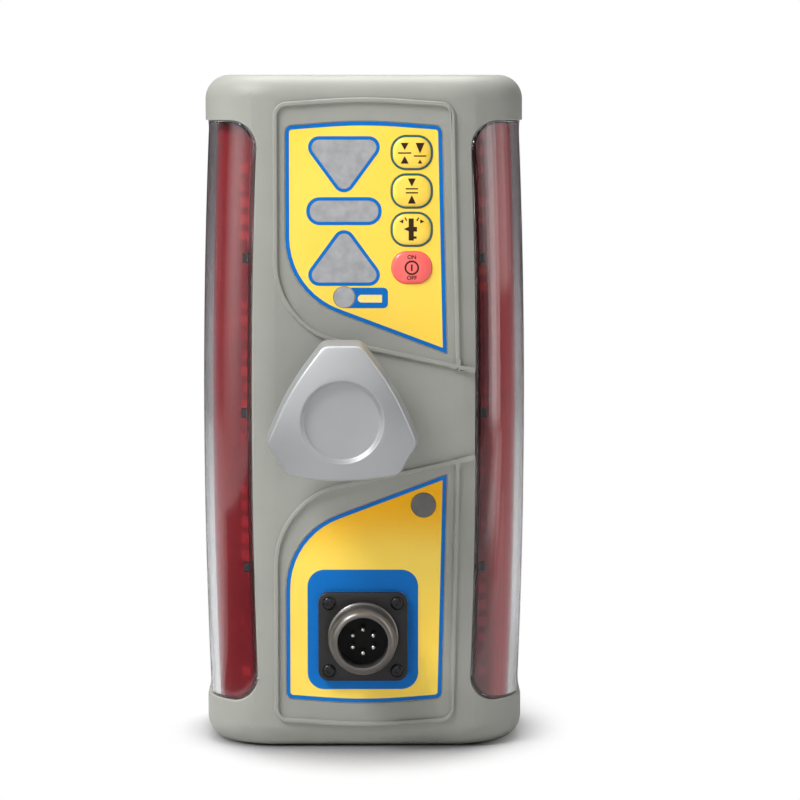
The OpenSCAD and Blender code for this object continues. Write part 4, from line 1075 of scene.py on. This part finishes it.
def make_camera():
    """The camera at the place and with the lens that fit the photograph."""
    camera = bpy.data.objects.new("camera", bpy.data.cameras.new("camera"))
    bpy.context.scene.collection.objects.link(camera)
    camera.location = CAMERA_AT
    camera.rotation_euler = (math.pi / 2 - CAMERA_PITCH, 0, -CAMERA_YAW)
    camera.data.lens = CAMERA_LENS
    camera.data.sensor_width = CAMERA_SENSOR
    bpy.context.scene.camera = camera


def softbox(name, at, toward, width, height, power):
    """A rectangular lamp at a place, turned toward another."""
    lamp = bpy.data.lights.new(name, "AREA")
    lamp.shape = "RECTANGLE"
    lamp.size, lamp.size_y = width, height
    lamp.energy = power
    box = bpy.data.objects.new(name, lamp)
    box.location = at
    box.rotation_euler = (Vector(toward) - Vector(at)).to_track_quat("-Z", "Y").to_euler()
    bpy.context.scene.collection.objects.link(box)


def make_world(ambient):
    """Soft light from all round; the camera, gloss and glass see white."""
    world = bpy.data.worlds.new("studio")
    bpy.context.scene.world = world
    world.use_nodes = True
    tree = world.node_tree
    path = tree.nodes.new("ShaderNodeLightPath")
    total = path.outputs["Is Camera Ray"]
    for label in ("Is Glossy Ray", "Is Transmission Ray"):
        total = number(tree, "MAXIMUM", total, path.outputs[label])
    level = tree.nodes.new("ShaderNodeMapRange")
    level.inputs["To Min"].default_value = ambient
    level.inputs["To Max"].default_value = 1.0
    tree.links.new(total, level.inputs["Value"])
    tree.links.new(level.outputs["Result"], tree.nodes["Background"].inputs["Strength"])
    tree.nodes["Background"].inputs["Color"].default_value = (1, 1, 1, 1)


def floor_material():
    """Paper with a painted soft shadow close to the part, where occlusion darkens its colour for the camera;
    gloss and glass see it painted darker, a painted dimming of its reflection; the camera sees it turn pure
    white further out.
    """
    material = surface("paper", tone(230, 230, 230), tone(227, 227, 227), 0.9, grain=(400, 0.02), shine=0.0)
    tree = material.node_tree
    shader = tree.nodes["Principled BSDF"]
    # painted shadow: occlusion near the part darkens the paper's colour as the camera sees it
    close = tree.nodes.new("ShaderNodeAmbientOcclusion")
    close.samples = 8
    close.inputs["Distance"].default_value = SHADOW_REACH
    shade = ramp(tree, close.outputs["AO"], *SHADOW_SHARES)
    paper = shader.inputs["Base Color"].links[0].from_socket
    shaded = blend_of(tree, shade, tone(132, 132, 133), paper)
    place = tree.nodes.new("ShaderNodeTexCoord")
    flat = tree.nodes.new("ShaderNodeVectorMath")
    flat.operation = "DIVIDE"
    flat.inputs[1].default_value = SHADOW_HALF
    reach = tree.nodes.new("ShaderNodeVectorMath")
    reach.operation = "LENGTH"
    tree.links.new(place.outputs["Object"], flat.inputs[0])
    tree.links.new(flat.outputs["Vector"], reach.inputs[0])
    path = tree.nodes.new("ShaderNodeLightPath")
    glossed = number(tree, "MAXIMUM", path.outputs["Is Glossy Ray"], path.outputs["Is Transmission Ray"])
    # painted shade: gloss and glass rays see a darker paper, so its reflection in the part is dimmed
    bounced = blend_of(tree, glossed, paper, tone(174, 174, 175))
    to_camera = path.outputs["Is Camera Ray"]
    tree.links.new(blend_of(tree, to_camera, bounced, shaded), shader.inputs["Base Color"])
    seen = number(tree, "MULTIPLY", ramp(tree, reach.outputs["Value"], *WHITE_SHARES), to_camera)
    white = tree.nodes.new("ShaderNodeEmission")
    choice = tree.nodes.new("ShaderNodeMixShader")
    tree.links.new(seen, choice.inputs["Fac"])
    tree.links.new(shader.outputs["BSDF"], choice.inputs[1])
    tree.links.new(white.outputs["Emission"], choice.inputs[2])
    tree.links.new(choice.outputs["Shader"], tree.nodes["Material Output"].inputs["Surface"])
    return material


def make_floor():
    """A paper sweep: a floor whose far edge turns up behind the part."""
    rest_tools()
    bpy.ops.mesh.primitive_plane_add(size=FLOOR_SIZE)
    floor = bpy.context.object
    floor.name = "paper_floor"
    open_mesh(floor, "EDGE", "DESELECT")
    close_mesh()
    for edge in floor.data.edges:
        edge.select = all(floor.data.vertices[i].co.y > FLOOR_SIZE / 2 - NEAR for i in edge.vertices)
    bpy.ops.object.mode_set(mode="EDIT")
    bpy.ops.mesh.extrude_region_move(TRANSFORM_OT_translate={"value": (0, 0, SWEEP_H)})
    close_mesh()
    floor.data.materials.append(floor_material())


def flag(name, at, toward, width, height, cloth):
    """A card out of view that only the gloss and glass of the part see; it casts no shadow."""
    rest_tools()
    bpy.ops.mesh.primitive_plane_add(size=1)
    card = bpy.context.object
    card.name = name
    turn = (Vector(toward) - Vector(at)).to_track_quat("Z", "Y")
    for vertex in card.data.vertices:
        flat = Vector((vertex.co.x * width, vertex.co.y * height, 0))
        vertex.co = turn @ flat + Vector(at)
    open_mesh(card, "FACE")
    bpy.ops.mesh.inset(thickness=CARD_HEM)
    close_mesh()
    card.data.materials.append(cloth)
    card.visible_camera = card.visible_shadow = card.visible_diffuse = False


def glowing(name, level, ramps=()):
    """A card finish that gives off light; each ramp fades it along an axis."""
    material = surface(name, tone(30, 30, 30), tone(26, 26, 26), 0.9, shine=0.0)
    tree = material.node_tree
    shader = tree.nodes["Principled BSDF"]
    shader.inputs["Emission Strength"].default_value = level
    glow = (1, 1, 1, 1)
    for axis, start, end, least in ramps:
        glow = blend_of(tree, ramp(tree, place_on(tree)[axis], start, end), (least, least, least, 1), glow)
    if ramps:
        tree.links.new(glow, shader.inputs["Emission Color"])
    else:
        shader.inputs["Emission Color"].default_value = glow
    return material


def fading(material, low_tone, low, high):
    """A cloth that pales toward its foot."""
    tree = material.node_tree
    base = tree.nodes["Principled BSDF"].inputs["Base Color"]
    cloth = base.links[0].from_socket
    tree.links.new(blend_of(tree, ramp(tree, place_on(tree)["Z"], high, low), cloth, low_tone), base)
    return material


FLAG_BLACK = surface("black_cloth", tone(30, 28, 30), tone(24, 22, 24), 0.9, shine=0.0)
FLAG_GREY = fading(surface("grey_cloth", tone(112, 106, 109), tone(106, 100, 103), 0.9, shine=0.0),
                   tone(162, 157, 159), 0.02, 0.2)
CARD_WHITE = glowing("white_card", 2.9)
CARD_PALE = glowing("pale_card", 0.9)
CARD_LOW = glowing("low_card", 1.8, [("X", 0.35, 0.6, 0.3), ("Y", -0.1, -0.16, 0.05)])
HAZE_WHITE = glowing("haze_card", 1.75,
                     [("Y", -0.7, -0.36, 0.12), ("Y", -0.02, -0.22, 0.05), ("Z", -0.06, 0.22, 0.25)])

# Lamps: name, place, aim, width and height in metres, and power in watts
LAMPS = [
    ("key_softbox", (-0.66, -0.52, 1.0), MIDDLE, 0.5, 0.5, 15.2),
    ("top_softbox", (0.0, 0.45, 1.5), MIDDLE, 1.0, 1.0, 22),
    ("low_softbox", (0.3, -1.2, 0.06), (0, 0, 0.03), 0.8, 0.2, 0.5),
    ("front_softbox", (-0.75, -0.95, 0.62), MIDDLE, 0.2, 0.9, 0.9),
]

# Cards: name, place, aim, width and height in metres, and finish
CARDS = [
    ("haze_card", (-0.88, -0.3, 0.45), (0, 0, 0.45), 0.9, 0.88, HAZE_WHITE),
    ("side_floor_card", (0.4, -0.08, 0.004), (0.4, -0.08, 1), 0.6, 0.1, CARD_PALE),
    ("far_floor_card", (0.7, -0.21, 0.005), (0.7, -0.21, 1), 0.7, 0.22, CARD_LOW),
    ("front_flag", (0.5, -1.0, 0.02), MIDDLE, 0.9, 0.8, FLAG_BLACK),
    ("side_card", (0.95, -0.33, 0.5), MIDDLE, 0.35, 1.1, CARD_WHITE),
    ("floor_flag", (-0.36, -0.4, 0.004), (-0.36, -0.4, 1), 0.5, 0.8, FLAG_BLACK),
    ("left_flag", (-0.95, -0.2, 0.4), MIDDLE, 1.2, 1.1, FLAG_BLACK),
    ("right_flag", (0.55, -0.75, 0.4), MIDDLE, 0.5, 1.1, FLAG_BLACK),
    ("left_back_flag", (-0.75, 0.75, 0.4), MIDDLE, 1.1, 1.1, FLAG_GREY),
    ("right_back_flag", (0.8, 0.75, 0.4), MIDDLE, 1.1, 1.1, FLAG_GREY),
]


def make_studio():
    """Camera, lamps, cards and paper."""
    bpy.context.scene.view_settings.view_transform = "Standard"
    make_camera()
    make_world(AMBIENT)
    for lamp in LAMPS:
        softbox(*lamp)
    for card in CARDS:
        flag(*card)
    make_floor()


# Build

paint_frame()
dress_housings()
make_knob()
print_panels()
make_keys()
make_connector()
make_studio()
